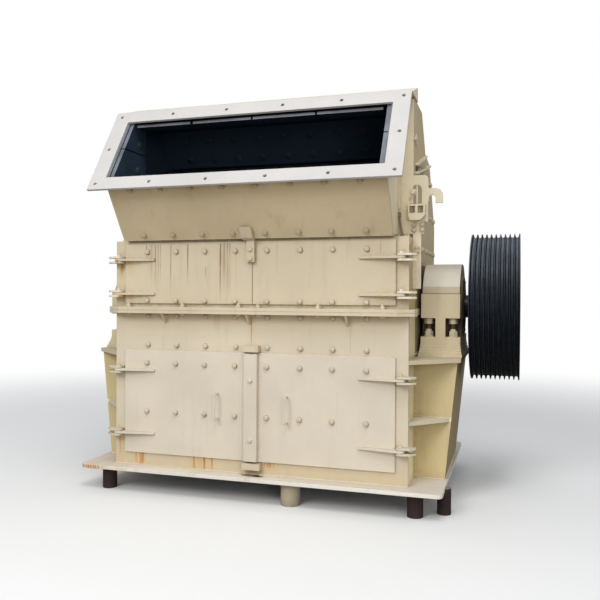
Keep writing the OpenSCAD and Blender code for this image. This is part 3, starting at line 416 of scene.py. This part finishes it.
def make_materials():
    """All paints and metals by the short names that the pieces use."""
    return {
        "cream": paint("cream_paint", CREAM),
        "wall": paint("wall_paint", FRONT, grime_and_shade=0.25, orange=WALL_ORANGE, brown=WALL_BROWN,
                      stains_and_shade=WALL_STAINS_AND_SHADE, shell=True),
        "shell": paint("shell_paint", CREAM, shell=True),
        # Upper side walls in a darker copy of the cream: painted shade.
        "side": paint("side_wall_shade_paint", SIDE_WALL_SHADE, grime_and_shade=0.4, shell=True),
        "flank": paint("lower_side_paint", (0.90, 0.79, 0.47), grime_and_shade=0.4, shell=True),
        # Pedestals in a darker olive copy of the cream: painted shade.
        "pedestal_shade": paint("pedestal_shade_paint", (0.66, 0.535, 0.285), grime_and_shade=0.4, bands=PEDESTAL_EDGE_LIGHT, flank=SIDE_SHADE),
        "housing": paint("housing_paint", CREAM, bands=HOUSING_BANDS),
        # Hopper plate in a darker copy of the cream, as it faces down: painted shade.
        "hopper": paint("hopper_shade_paint", (0.70, 0.575, 0.37), grime_and_shade=0.4, shell=True),
        "door": paint("door_paint", (0.775, 0.69, 0.555), grime_and_shade=0.2, orange=DOOR_ORANGE),
        "upper": paint("upper_paint", CREAM, orange=UPPER_ORANGE, brown=UPPER_BROWN),
        "front": paint("upper_wall_paint", CREAM, grime_and_shade=0.4, orange=UPPER_ORANGE, shell=True),
        "plate": paint("plate_paint", (0.93, 0.875, 0.77), grime_and_shade=0.3, rust=0.4, orange=PLATE_ORANGE),
        "pale": paint("pale_paint", PALE, rough=0.6, grime_and_shade=0.12, rust=0.05, wear=0.6),
        # Dark brown covers and plates between the housings and the pulley: painted shade.
        "cover": paint("cover_shade_paint", (0.26, 0.20, 0.12), rough=0.7, grime_and_shade=0.5, rust=0.3),
        # Hopper sides in a lighter copy of the cream: painted light.
        "wing": paint("hopper_side_lit_paint", (0.95, 0.84, 0.62), shell=True),
        # Ear plate, top beam and side ribs in a lighter copy of the cream: painted light.
        "ear": paint("ear_lit_paint", (0.92, 0.82, 0.60), rust=0.4),
        "lug": paint("lug_paint", (0.90, 0.81, 0.63), grime_and_shade=0.3, rust=0.5, orange=UPPER_ORANGE),
        "low_lug": paint("lower_lug_paint", (0.74, 0.66, 0.50), grime_and_shade=0.4, rust=0.5),
        "rust": paint("rust_scale", (0.20, 0.085, 0.04), rough=0.85, grime_and_shade=0.5, rust=0.9),
        "strip": metal("liner_strip", (0.33, 0.35, 0.385), (0.42, 0.44, 0.47), 0.5, 0.0, spots=0.2),
        # Near-black shaft in the dark gap beside the pulley: painted shade.
        "shaft": metal("shaded_shaft", (0.045, 0.040, 0.035), (0.12, 0.11, 0.10), 0.4, 0.6),
        "bolt": paint("bolt_paint", (0.68, 0.59, 0.45), grime_and_shade=0.6, rust=0.35),
        # Darker bolts on the hopper plate: painted shade.
        "hopper_bolt": paint("hopper_bolt_shade_paint", (0.58, 0.49, 0.33), grime_and_shade=0.6, rust=0.35),
        "seam": paint("seam_paint", (0.55, 0.46, 0.33), rough=0.7, grime_and_shade=0.5, rust=0.3),
        "stub": paint("stub_paint", (0.50, 0.43, 0.31), rough=0.8, grime_and_shade=0.7, rust=0.3),
        "umber": paint("umber_steel", (0.030, 0.015, 0.015), rough=0.75, grime_and_shade=0.12, rust=0.12, wear=0.2),
        "lever": paint("lever_paint", (0.30, 0.22, 0.12), rough=0.6, grime_and_shade=0.5, rust=0.5),
        "nut": paint("nut_paint", (0.72, 0.64, 0.46), rough=0.5, grime_and_shade=0.3, rust=0.5),
        "wear": metal("wear_steel", (0.027, 0.046, 0.072), (0.05, 0.062, 0.080), 0.60, 0.0),
        "edge": metal("liner_edge", (0.16, 0.175, 0.20), (0.22, 0.235, 0.26), 0.5, 0.0, spots=0.2),
        "dark": metal("dark_steel", (0.008, 0.011, 0.016), (0.03, 0.034, 0.04), 0.6, 0.0),
        "bright": metal("machined_steel", (0.42, 0.40, 0.37), (0.6, 0.6, 0.6), 0.35, 1.0, (1, 20, 20)),
        # The black iron gets a painted sky reflection on its upward faces.
        "black": metal("black_iron", (0.0035, 0.0095, 0.014), (0.11, 0.09, 0.11), 0.42, 0.0, spots=0.02,
                       sky_reflection=(0.15, 0.17, 0.205), specular=0.2),
        # Dark brown for the housing pockets and the rib recess: painted shade.
        "pocket": paint("pocket_shade", (0.11, 0.075, 0.045), rough=0.8, grime_and_shade=0.5, rust=0.3),
        "edge_bolt": metal("inner_bolts", (0.040, 0.052, 0.065), (0.08, 0.09, 0.10), 0.5, 0.0),
    }


MATERIALS = make_materials()
SLOT_MATERIAL = {
    "cream_paint": "cream", "pale_paint": "pale", "umber_steel": "umber", "stub_paint": "stub",
    "wear_steel": "wear", "dark_steel": "dark", "machined_steel": "bright", "black_iron": "black",
}
NODE_MATERIAL = {
    "base_plate": "plate",
    "lower_front_wall": "wall",
    "lower_rear_wall": "shell",
    "upper_front_wall": "front",
    "upper_rear_wall": "shell",
    "roof_top": "shell",
    "roof_drop": "shell",
    "roof_shoulder": "shell",
    "roof_rear": "shell",
    "top_beam": "ear",
    "hopper_front_plate": "hopper",
    "lock_bar": "door",
    "rotor_shaft": "shaft",
    "ear_plate_right": "ear",
}
SIDED_MATERIAL = {
    "lower_door": "door",
    "upper_door": "upper",
    "lower_side_wall": "flank",
    "upper_side_wall": "side",
    "hopper_side": "wing",
    "bearing_pedestal": "pedestal_shade",
    "bearing_housing": "housing",
    "upper_hinges": "lug",
    "lower_hinges": "low_lug",
    "side_ribs": "ear",
}
for pair, kind in SIDED_MATERIAL.items():
    NODE_MATERIAL[pair + "_left"] = kind
    NODE_MATERIAL[pair + "_right"] = kind
MATERIAL_SLOT = {value: key for key, value in SLOT_MATERIAL.items()}
MATERIAL_SLOT.update({"edge": "wear_steel", "strip": "wear_steel", "edge_bolt": "wear_steel"})


def dress_nodes():
    """Gives each CAD node its material, from its name or else from its slot."""
    slots = {part["node"]: part["material_slot"] for part in frame["record"]["subparts"]}
    for name, thing in frame["nodes"].items():
        chosen = NODE_MATERIAL.get(name, SLOT_MATERIAL[slots[name]])
        thing.data.materials.clear()
        thing.data.materials.append(MATERIALS[chosen])


def finish_piece(name, mesh, material, body, smooth=None):
    """Turns a bmesh into a piece of the part, with its finish and the body that it rides on."""
    data = bpy.data.meshes.new(name)
    mesh.to_mesh(data)
    mesh.free()
    piece = bpy.data.objects.new(name, data)
    bpy.context.scene.collection.objects.link(piece)
    data.materials.append(MATERIALS[material])
    if smooth is not None:
        data.shade_smooth()
        data.set_sharp_from_angle(angle=math.radians(smooth))
    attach(piece, body)
    return piece


def turned(mesh, frame_at, rings, sides, turn=0.0):
    """Adds a closed turned form of (radius, height) rings, with the given number of sides."""
    loops = []
    for radius, height in rings:
        loop = []
        for i in range(sides):
            angle = turn + 2 * math.pi * i / sides
            loop.append(mesh.verts.new(frame_at @ Vector((radius * math.cos(angle),
                                                          radius * math.sin(angle), height))))
        loops.append(loop)
    for low, high in zip(loops, loops[1:]):
        for i in range(sides):
            j = (i + 1) % sides
            mesh.faces.new((low[i], low[j], high[j], high[i]))
    mesh.faces.new(list(reversed(loops[0])))
    mesh.faces.new(loops[-1])


def looking(place, normal, turn=0.0):
    """Frame at a place with its Z along the normal."""
    spin = Vector(normal).to_track_quat("Z", "Y").to_matrix().to_4x4()
    return Matrix.Translation(place) @ spin @ Matrix.Rotation(turn, 4, "Z")


def add_bolt(mesh, place, normal, across=0.0235, head=0.0125, washer=0.0142, washer_t=0.0018):
    """A washer and a chamfered hexagon head on a surface."""
    spot = looking(place, normal, RANDOM.uniform(0, 1.04))
    radius = across / 2 / math.cos(math.pi / 6)
    sunk = 0.002
    if washer:
        turned(mesh, spot, [(washer, -sunk), (washer, washer_t * 0.7), (washer - 0.001, washer_t)], 20)
    low = washer_t - 0.0005 if washer else -sunk
    turned(mesh, spot, [(radius, low), (radius, low + head * 0.62), (radius * 0.93, low + head * 0.80)], 6)
    turned(mesh, spot, [(radius * 0.86, low + head * 0.5), (radius * 0.86, low + head * 0.80),
                        (radius * 0.70, low + head * 0.93), (radius * 0.45, low + head)], 18)


def add_nut(mesh, place, normal, across=0.030, stud=0.012):
    """A nut with the rounded end of its stud standing out."""
    add_bolt(mesh, place, normal, across, across * 0.5)
    spot = looking(place, normal)
    end = 0.003 + across * 0.5 + stud
    radius = across * 0.33
    turned(mesh, spot, [(radius, 0.0), (radius, end - 0.002), (radius * 0.8, end)], 14)


COLUMNS = (-0.595, -0.427, -0.262, -0.093, 0.079, 0.253, 0.419, 0.589)


def front_bolts(name, heights, depth, material, body, columns=COLUMNS):
    """Rows of bolts on the front at the given heights."""
    mesh = bmesh.new()
    for height in heights:
        for x in columns:
            px, pz = at(x, height)
            add_bolt(mesh, (px, depth, pz), (0, -1, 0))
    return finish_piece(name, mesh, material, body, smooth=25)


def make_front_bolts():
    left = [x for x in COLUMNS if x < 0]
    right = [x for x in COLUMNS if x > 0]
    front_bolts("lower_wall_bolts", (0.799, 0.646), FRONT_Y, "bolt", "casing")
    front_bolts("left_door_bolts", (0.550, 0.294), DOOR_FACE_Y, "bolt", "left_door", left)
    front_bolts("right_door_bolts", (0.550, 0.294), DOOR_FACE_Y, "bolt", "right_door", right)
    front_bolts("upper_door_bolts", (1.136, 0.878), DOOR_FACE_Y, "bolt", "casing")


HOPPER_ANGLE = math.radians(33)
HOPPER_FOOT_Y = 0.041
HOPPER_ROWS = (0.031, 0.287)


def make_hopper_bolts():
    """Two rows of bolts on the inclined hopper plate."""
    slope = Vector((0, -math.sin(HOPPER_ANGLE), math.cos(HOPPER_ANGLE)))
    outward = Vector((0, -math.cos(HOPPER_ANGLE), -math.sin(HOPPER_ANGLE)))
    foot = Vector((MID_X, FRONT_Y - HOPPER_FOOT_Y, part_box("hopper_front_plate")[0].z))
    mesh = bmesh.new()
    for along in HOPPER_ROWS:
        for x in COLUMNS:
            add_bolt(mesh, foot + slope * along + Vector((x + 0.005, 0, 0)), outward)
    # These bolts take the darker hopper bolt paint: painted shade.
    finish_piece("hopper_bolts", mesh, "hopper_bolt", "casing", smooth=25)


FLANGE_BOLTS = (-0.697, -0.381, -0.068, 0.038, 0.351, 0.669)
FLANGE_BOLT_ACROSS = 0.024


def make_flange_bolts():
    """Nuts on the casing flanges' front and rear bars, with the bolt heads below."""
    low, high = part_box("upper_flange")
    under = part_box("lower_flange")[1].z - (high.z - low.z)
    mesh = bmesh.new()
    for x in FLANGE_BOLTS:
        for y in (FRONT_Y - 0.033, REAR_Y + 0.018):
            add_nut(mesh, (MID_X + x, y, high.z), (0, 0, 1), FLANGE_BOLT_ACROSS, 0.008)
            add_bolt(mesh, (MID_X + x, y, under), (0, 0, -1), FLANGE_BOLT_ACROSS, 0.010, 0.018)
    finish_piece("flange_bolts", mesh, "cream", "casing", smooth=25)


def make_lock_bolts():
    """Screws in the lock bar and in the clamp between the upper doors."""
    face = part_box("lock_bar")[0].y
    mesh = bmesh.new()
    for height in (0.48, 0.178):
        px, pz = at(-0.002, height)
        add_bolt(mesh, (px, face, pz), (0, -1, 0), 0.022, 0.010, 0)
    finish_piece("lock_bar_bolts", mesh, "door", "left_door", smooth=25)
    mesh = bmesh.new()
    for height in (1.142, 1.094):
        px, pz = at(-0.0045, height)
        add_bolt(mesh, (px, DOOR_FACE_Y - 0.022, pz), (0, -1, 0), 0.024, 0.012, 0)
    finish_piece("upper_clamp_bolts", mesh, "upper", "casing", smooth=25)


def stage_material():
    """Pale floor that turns into the white background far away, as the camera sees it."""
    material = new_material("stage")
    tree = material.node_tree
    place = add(tree, "ShaderNodeTexCoord").outputs["Object"]
    flat = add(tree, "ShaderNodeVectorMath", {0: place}, operation="LENGTH").outputs["Value"]
    far = ramp(tree, flat, 2.5, 7.0)
    camera_ray = add(tree, "ShaderNodeLightPath").outputs["Is Camera Ray"]
    whiteness = math_node(tree, "MULTIPLY", far, camera_ray)
    tone = blend_colour(tree, camera_ray, (0.30, 0.28, 0.25, 1), (0.88, 0.88, 0.87, 1))
    diffuse = add(tree, "ShaderNodeBsdfDiffuse", {"Color": tone})
    white = add(tree, "ShaderNodeEmission", {"Color": (1, 1, 1, 1), "Strength": 1.0})
    mixed = add(tree, "ShaderNodeMixShader", {0: whiteness, 1: diffuse.outputs[0], 2: white.outputs[0]})
    add(tree, "ShaderNodeOutputMaterial", {0: mixed.outputs[0]})
    return material


def make_stage():
    """A wide round floor just below the feet."""
    mesh = bmesh.new()
    bmesh.ops.create_circle(mesh, cap_ends=True, radius=60, segments=64)
    data = bpy.data.meshes.new("floor")
    mesh.to_mesh(data)
    mesh.free()
    floor = bpy.data.objects.new("floor", data)
    floor.location = (0, 0, -0.0005)
    bpy.context.scene.collection.objects.link(floor)
    data.materials.append(stage_material())


def make_world():
    """Soft light from all round, and white where the camera looks past the floor."""
    world = bpy.data.worlds.new("studio")
    bpy.context.scene.world = world
    world.use_nodes = True
    tree = world.node_tree
    tree.nodes.clear()
    path = add(tree, "ShaderNodeLightPath")
    seen = path.outputs["Is Camera Ray"]
    soft = add(tree, "ShaderNodeBackground", {"Color": (0.93, 0.96, 1.0, 1), "Strength": 0.55})
    white = add(tree, "ShaderNodeBackground", {"Color": (1, 1, 1, 1), "Strength": 1.0})
    mixed = add(tree, "ShaderNodeMixShader", {0: seen, 1: soft.outputs[0], 2: white.outputs[0]})
    add(tree, "ShaderNodeOutputWorld", {0: mixed.outputs[0]})


def fit(x, y, z):
    """A place counted from the casing's middle, its front face and the base plate's top."""
    return Vector((MID_X + x, FRONT_Y + y, BASE_TOP + z))


def join_loops(mesh, loops):
    """Closes two like loops of corners into a solid."""
    count = len(loops[0])
    for i in range(count):
        j = (i + 1) % count
        mesh.faces.new((loops[0][i], loops[0][j], loops[1][j], loops[1][i]))
    mesh.faces.new(list(reversed(loops[0])))
    mesh.faces.new(loops[1])


def add_bar(mesh, low, high):
    """A box between two corners."""
    made = bmesh.ops.create_cube(mesh, size=1.0)["verts"]
    for vert in made:
        vert.co = Vector([(a + b) / 2 + part * (b - a) for a, b, part in zip(low, high, vert.co)])


def add_bead(mesh, start, end, radius=0.005, step=0.007):
    """A lumpy weld bead along a line."""
    line = end - start
    count = max(3, int(line.length / step))
    spin = line.to_track_quat("Z", "Y").to_matrix().to_4x4()
    rings = []
    for i in range(count + 1):
        share = i / count
        size = radius * (0.25 if i in (0, count) else RANDOM.uniform(0.82, 1.12) * (1.0 if i % 2 else 0.86))
        rings.append((size, share * line.length))
    turned(mesh, Matrix.Translation(start) @ spin, rings, 6)


def make_welds():
    """Weld beads of the casing, its gussets, the hopper and the bearing brackets."""
    mesh = bmesh.new()
    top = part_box("hopper_front_plate")[0].z - BASE_TOP
    half = SIDE_X
    add_bead(mesh, fit(-0.719, -0.040, top + 0.001), fit(0.719, -0.040, top + 0.001), 0.0022)
    add_bead(mesh, fit(-half, 0, 0.001), fit(half, 0, 0.001), 0.006)
    add_bead(mesh, fit(-half, 0, 0.812), fit(half, 0, 0.812), 0.0045)
    add_bead(mesh, fit(-half + 0.01, 0, 0.848), fit(half - 0.01, 0, 0.848), 0.0045)
    for x in (-0.493, -0.020, 0.493):
        for side in (-0.006, 0.006):
            add_bead(mesh, fit(x + side, 0.0, 0.762), fit(x + side, 0.0, 0.811), 0.0035)
            add_bead(mesh, fit(x + side, -0.001, 0.812), fit(x + side, -0.052, 0.812), 0.0035)
    for side in (-1, 1):
        x = side * half
        add_bead(mesh, fit(x, 0.004, 0.62), fit(x, 1.06, 0.604), 0.005)
        add_bead(mesh, fit(x, 0.01, 0.001), fit(x, 0.2, 0.001), 0.006)
        add_bead(mesh, fit(x, 0.02, 0.288), fit(x, 0.2, 0.288), 0.004)
        add_bead(mesh, fit(side * 0.7205, 0.004, 1.1985), fit(side * 0.7205, 0.118, 1.1985), 0.0055)
        add_bead(mesh, fit(side * 0.79, 0.203, 0.001), fit(side * 0.944, 0.203, 0.001), 0.006)
        add_bead(mesh, fit(side * 0.8, 0.203, 0.308), fit(side * 0.965, 0.203, 0.308), 0.004)
        add_bead(mesh, fit(side * 0.8, 0.203, 0.581), fit(side * 0.995, 0.203, 0.581), 0.004)
        add_bead(mesh, fit(side * 0.944, 0.21, 0.001), fit(side * 0.944, 0.855, 0.001), 0.006)
    finish_piece("weld_beads", mesh, "cream", "casing", smooth=60)


def make_gasket():
    """Thin line between the two casing flanges, a little wider than they are."""
    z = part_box("upper_flange")[0].z
    grow = 1.001
    half = [(0.745, -0.060), (0.820, -0.020), (0.828, 0.0), (0.828, 0.016), (0.798, 0.048),
            (0.798, 1.017), (0.828, 1.049), (0.828, 1.095)]
    outline = half + [(-x, y) for x, y in reversed(half)]
    middle_y = sum(point[1] for point in outline) / len(outline)
    mesh = bmesh.new()
    loops = []
    for rise in (-0.0008, 0.0008):
        loop = []
        for x, y in outline:
            back = FRONT_Y + middle_y + (y - middle_y) * grow
            loop.append(mesh.verts.new((MID_X + x * grow, back, z + rise)))
        loops.append(loop)
    join_loops(mesh, loops)
    finish_piece("flange_gasket", mesh, "seam", "casing")


# Pockets in a housing's foot: stud, inner end, outer end and rib, counted from the housing's inner face
POCKETS = ((0.036, 0.0, 0.072, 0.0725), (0.160, 0.124, 0.196, 0.1235))
POCKET_Y = 0.2975
POCKET_DEPTH = 0.068
POCKET_H = 0.096
POCKET_FLOOR = 0.100


def add_stud(mesh, spot, turn):
    """A holding-down stud: washer, lower nut, stud end and the nut above."""
    turned(mesh, spot, [(0.026, -0.002), (0.026, 0.004), (0.024, 0.005)], 24)
    lower_nut = [(0.0215, 0.004), (0.0232, 0.006), (0.0232, 0.026), (0.0205, 0.030)]
    turned(mesh, spot, lower_nut, 6, turn)
    turned(mesh, spot, [(0.0155, 0.028), (0.0155, 0.038), (0.0140, 0.040)], 20)
    upper_nut = [(0.0205, 0.066), (0.0230, 0.069), (0.0230, 0.094), (0.0215, 0.097)]
    turned(mesh, spot, upper_nut, 6, turn + 0.4)


def make_housing_studs():
    """Holding-down studs and nuts in the pockets of both bearing housings, with dark sheets on the pockets'
    walls as painted shade.
    """
    mesh, pocket_shade_sheets = bmesh.new(), bmesh.new()
    for side, name in ((-1, "left"), (1, "right")):
        near = fit(side * 0.810, 0, 0).x
        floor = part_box("bearing_housing_" + name)[0].z + POCKET_FLOOR
        for way, y in ((1, FRONT_Y + POCKET_Y), (-1, REAR_Y - POCKET_Y)):
            inner = y + way * POCKET_DEPTH
            for along, start, end, rib in POCKETS:
                spot = Matrix.Translation((near + side * along, y + way * 0.034, floor))
                add_stud(mesh, spot, RANDOM.uniform(0, 1.0))
                turned(pocket_shade_sheets, spot, [(0.0100, 0.0), (0.0100, 0.097)], 18)
                x0, x1 = sorted((near + side * start, near + side * end))
                y0, y1 = sorted((inner - way * 0.0006, inner + way * 0.0006))
                add_bar(pocket_shade_sheets, (x0, y0, floor), (x1, y1, floor + POCKET_H))
                y0, y1 = sorted((y + way * 0.004, inner))
                middle = near + side * rib
                add_bar(pocket_shade_sheets, (middle - 0.0008, y0, floor), (middle + 0.0008, y1, floor + POCKET_H))
                add_bar(pocket_shade_sheets, (x0, y0, floor + 0.0952), (x1, y1, floor + 0.0968))
    finish_piece("housing_studs", mesh, "nut", "casing", smooth=30)
    finish_piece("housing_pocket_shade", pocket_shade_sheets, "pocket", "casing")


def make_housing_covers():
    """Round end covers with their screws on both faces of each bearing housing, and plates behind, in a dark
    paint that is painted shade.
    """
    mesh, shade_sheets = bmesh.new(), bmesh.new()
    outline = [(0.215, 0.604), (0.215, 0.86), (0.30, 1.0), (0.42, 1.075), (0.645, 1.075), (0.765, 1.0),
               (0.85, 0.86), (0.85, 0.604)]
    for side, name in ((-1, "left"), (1, "right")):
        low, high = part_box("bearing_housing_" + name)
        for x, way in ((high.x - 0.016, 1), (low.x + 0.016, -1)):
            spot = looking((x, AXIS_Y, AXIS_Z), (way, 0, 0))
            closed_end = way == side == -1
            rise = 0.0155 if closed_end else 0.012
            turned(mesh, spot, [(0.160, -0.002), (0.160, 0.006), (0.157, 0.009), (0.095, 0.009),
                                (0.090, rise), (0.072, rise)], 64)
            for i in range(8):
                angle = math.pi / 4 * (i + 0.5)
                place = (x + way * 0.008, AXIS_Y + 0.138 * math.cos(angle), AXIS_Z + 0.138 * math.sin(angle))
                add_bolt(mesh, place, (way, 0, 0), 0.019, 0.007, 0)
        add_prism(shade_sheets, outline, side * 0.7895, side * 0.7908)
    finish_piece("housing_covers", mesh, "cover", "casing", smooth=35)
    finish_piece("seal_shade_plates", shade_sheets, "cover", "casing")


def add_prism(mesh, points, low, high):
    """A prism along X between low and high, over (y, z) points counted as in fit."""
    join_loops(mesh, [[mesh.verts.new(fit(x, y, z)) for y, z in points] for x in (low, high)])
    bmesh.ops.recalc_face_normals(mesh, faces=mesh.faces[:])


def make_closures():
    """Small closing plates beside the hopper, and a dark plate of painted shade in the recess between the
    side ribs.
    """
    mesh, shade = bmesh.new(), bmesh.new()
    corner = [(0.0, 1.130), (0.1205, 1.130), (0.1205, 1.196), (0.0, 1.196)]
    recess = [(0.196, 1.528), (0.196, 1.562), (0.42, 1.598), (0.42, 1.560)]
    for side in (-1, 1):
        for low, high in (((0.717, 0.014, 1.186), (0.776, 0.1205, 1.196)),
                          ((0.717, 0.1085, 1.186), (0.776, 0.1205, 1.218))):
            a, b = fit(side * low[0], *low[1:]), fit(side * high[0], *high[1:])
            add_bar(mesh, [min(p, q) for p, q in zip(a, b)], [max(p, q) for p, q in zip(a, b)])
        add_prism(mesh, corner, side * 0.7765, side * 0.7895)
        add_prism(shade, recess, side * 0.7900, side * 0.7908)
    for left, right in ((0.738, 0.790), (-0.790, -0.738)):
        add_bar(mesh, fit(left, -0.0004, 1.130), fit(right, 0.012, 1.1965))
    finish_piece("corner_closures", mesh, "cream", "casing")
    finish_piece("rib_shadows", shade, "pocket", "casing")


def make_seams():
    """Seams of the lower wall above the doors, and the seam between the upper doors."""
    seams = bmesh.new()
    for x in (-0.507, 0.507):
        add_bead(seams, fit(x, 0.0005, 0.622), fit(x, 0.0005, 0.758), 0.0009)
    finish_piece("wall_seams", seams, "seam", "casing")
    door_seam = bmesh.new()
    add_bar(door_seam, fit(-0.004, -0.0085, 0.865), fit(0.004, -0.006, 1.185))
    finish_piece("door_seam", door_seam, "seam", "casing")


# Rust patches on the base plate below the lock bar: place, and half size across and back
PATCHES = ((0.004, -0.028, 0.056, 0.024), (0.044, -0.034, 0.030, 0.016))


def make_rust_patch():
    patch = bmesh.new()
    sides = 28
    for x, y, wide, deep in PATCHES:
        rim = []
        for i in range(sides):
            angle = 2 * math.pi * i / sides
            size = RANDOM.uniform(0.75, 1.05)
            rim.append((x + wide * size * math.cos(angle), min(-0.001, y + deep * size * math.sin(angle))))
        join_loops(patch, [[patch.verts.new(fit(px, py, z)) for px, py in rim] for z in (-0.0005, 0.0006)])
    finish_piece("rust_patch", patch, "rust", "casing")


def make_side_details():
    """Lifting eyes on both sides, and the bracket screws and small lever right of the hopper."""
    mesh, lever = bmesh.new(), bmesh.new()
    for side in (-1, 1):
        out = (side, 0, 0)
        turned(mesh, looking(fit(side * 0.790, 0.210, 1.695), out),
               [(0.030, -0.001), (0.030, 0.004), (0.028, 0.006), (0.018, 0.006)], 28)
        turned(mesh, looking(fit(side * 0.790, 0.150, 1.685), out),
               [(0.011, -0.001), (0.011, 0.012), (0.008, 0.014)], 14)
    for x, z in ((0.795, 1.259), (0.834, 1.234), (0.795, 1.234), (0.834, 1.259)):
        add_bolt(mesh, fit(x, 0.121, z), (0, -1, 0), 0.018, 0.009, 0.0125)
    for z in (1.147, 1.126):
        for x in (0.803, 0.820):
            add_bolt(mesh, fit(x, 0.121, z), (0, -1, 0), 0.013, 0.007, 0)
    for z in (1.39, 1.365):
        add_bolt(mesh, fit(0.778, 0.120, z), (0, -1, 0), 0.014, 0.008, 0)
    top, foot = fit(0.722, 0.112, 1.321), fit(0.741, 0.104, 1.206)
    line = foot - top
    length = line.length
    aim = Matrix.Translation(top) @ line.to_track_quat("Z", "Y").to_matrix().to_4x4()
    turned(lever, aim, [(0.004, 0.0), (0.0045, 0.002), (0.0045, length - 0.01), (0.009, length - 0.008),
                        (0.011, length + 0.008), (0.006, length + 0.014)], 14)
    add_bar(lever, fit(0.712, 0.100, 1.300), fit(0.732, 0.1215, 1.322))
    finish_piece("side_screws", mesh, "cream", "casing", smooth=30)
    finish_piece("side_levers", lever, "lever", "casing", smooth=30)


def make_liner_bolts():
    """Bolt heads on the hopper's inner plates and the chamber's back."""
    mesh = bmesh.new()
    roof_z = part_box("liners_top")[0].z - BASE_TOP
    for i in range(10):
        add_bolt(mesh, fit(-0.60 + 1.20 * i / 9, 0.070, roof_z), (0, 0, -1), 0.036, 0.012, 0)
    for side in (-1, 1):
        for y, z in ((0.05, 1.72), (0.03, 1.58), (-0.06, 1.50), (0.04, 1.40)):
            add_bolt(mesh, fit(side * 0.683, y, z), (-side, 0, 0), 0.030, 0.010, 0)
    back, drop = 0.160, 0.1887
    normal = Vector((0, -drop, -back)).normalized()
    for share in (0.3, 0.8):
        for i in range(9):
            spot = fit(-0.62 + 1.24 * i / 8, 0.440 + back * share, 1.8887 - drop * share)
            add_bolt(mesh, spot + normal * 0.012, normal, 0.036, 0.012, 0)
    finish_piece("liner_bolts", mesh, "edge_bolt", "casing", smooth=30)


# Ends of the liner plates under the roof, their lower and upper face, and the feed opening's slope
TOP_STRIPS = ((-0.680, -0.366), (-0.351, -0.025), (-0.015, 0.316), (0.326, 0.658))
STRIP_LOW = 1.8085
STRIP_HIGH = 1.8215
FEED_SLOPE = math.radians(57.5)


def make_liner_edges():
    """Sheared bright front edges of the liners round the feed opening, and the hopper sides' front edges in
    the same colour as painted shade.
    """
    mesh, plates, strips = bmesh.new(), bmesh.new(), bmesh.new()
    out = Vector((0, -math.sin(FEED_SLOPE), math.cos(FEED_SLOPE)))
    # The hopper sides' front faces join the liners' edges; on them the dark steel colour is painted shade.
    for name in ("liners_top", "liners_side", "hopper_side_left", "hopper_side_right"):
        piece = frame["nodes"][name]
        world = piece.matrix_world
        for face in piece.data.polygons:
            normal = (world.to_3x3() @ face.normal).normalized()
            if normal.dot(out) < 0.80:
                continue
            corners = [world @ piece.data.vertices[i].co + normal * 0.0006 for i in face.vertices]
            mesh.faces.new([mesh.verts.new(corner) for corner in corners])
    for start, end in TOP_STRIPS:
        add_bar(strips, fit(start, 0.0190, STRIP_LOW), fit(end, 0.0205, STRIP_HIGH))
        add_bar(plates, fit(start, 0.0205, STRIP_LOW), fit(end, 0.1185, STRIP_HIGH))
    finish_piece("liner_edges", mesh, "edge", "casing")
    finish_piece("top_liner_edges", strips, "strip", "casing")
    finish_piece("top_liner_plates", plates, "wear", "casing")


def room_on_side(y, z):
    """Whether a bolt on the upper side wall stays below the roof and off the bearing housing."""
    below_roof = z <= 1.70 - 0.5 * max(0, y - 0.7) and not (z > 1.5 and y > 0.85)
    at_housing = abs(y - 0.5325) < 0.22 and z < 1.1
    return below_roof and not at_housing


def make_plain_bolts():
    """Rows of liner bolts on the sides, the back and the roof."""
    mesh = bmesh.new()
    for side in (-1, 1):
        for z in (0.96, 1.16, 1.36, 1.56):
            for y in (0.30, 0.47, 0.64, 0.81, 0.97):
                if room_on_side(y, z):
                    add_bolt(mesh, fit(side * SIDE_X, y, z), (side, 0, 0))
        for z in (0.15, 0.40, 0.68):
            add_bolt(mesh, fit(side * SIDE_X, 0.97, z), (side, 0, 0))
    for z in (0.15, 0.40, 0.68, 0.95, 1.15):
        for x in COLUMNS:
            add_bolt(mesh, (MID_X + x, REAR_Y, BASE_TOP + z), (0, 1, 0))
    back, drop = 0.265, 0.342
    slope = Vector((0, drop, back)).normalized()
    for share in (0.2, 0.75):
        for x in COLUMNS:
            add_bolt(mesh, fit(x, 0.8 + back * share, 1.672 - drop * share), slope)
    finish_piece("plain_bolts", mesh, "cream", "casing", smooth=25)


make_camera()
make_world()
make_stage()
make_lamp("key", (-1.9, -6.3, 4.6), (0, 0, 0.9), 3.0, 190)
make_lamp("fill", (3.5, -6.3, 1.7), (0, 0, 0.9), 3.0, 72)
make_lamp("top", (1.2, -3.0, 6.3), (0.2, 0, 1.0), 3.0, 130)
dress_nodes()
make_front_bolts()
make_hopper_bolts()
make_flange_bolts()
make_lock_bolts()
make_welds()
make_gasket()
make_housing_studs()
make_housing_covers()
make_side_details()
make_closures()
make_seams()
make_rust_patch()
make_liner_bolts()
make_liner_edges()
make_plain_bolts()

bpy.context.scene.view_settings.view_transform = "Standard"
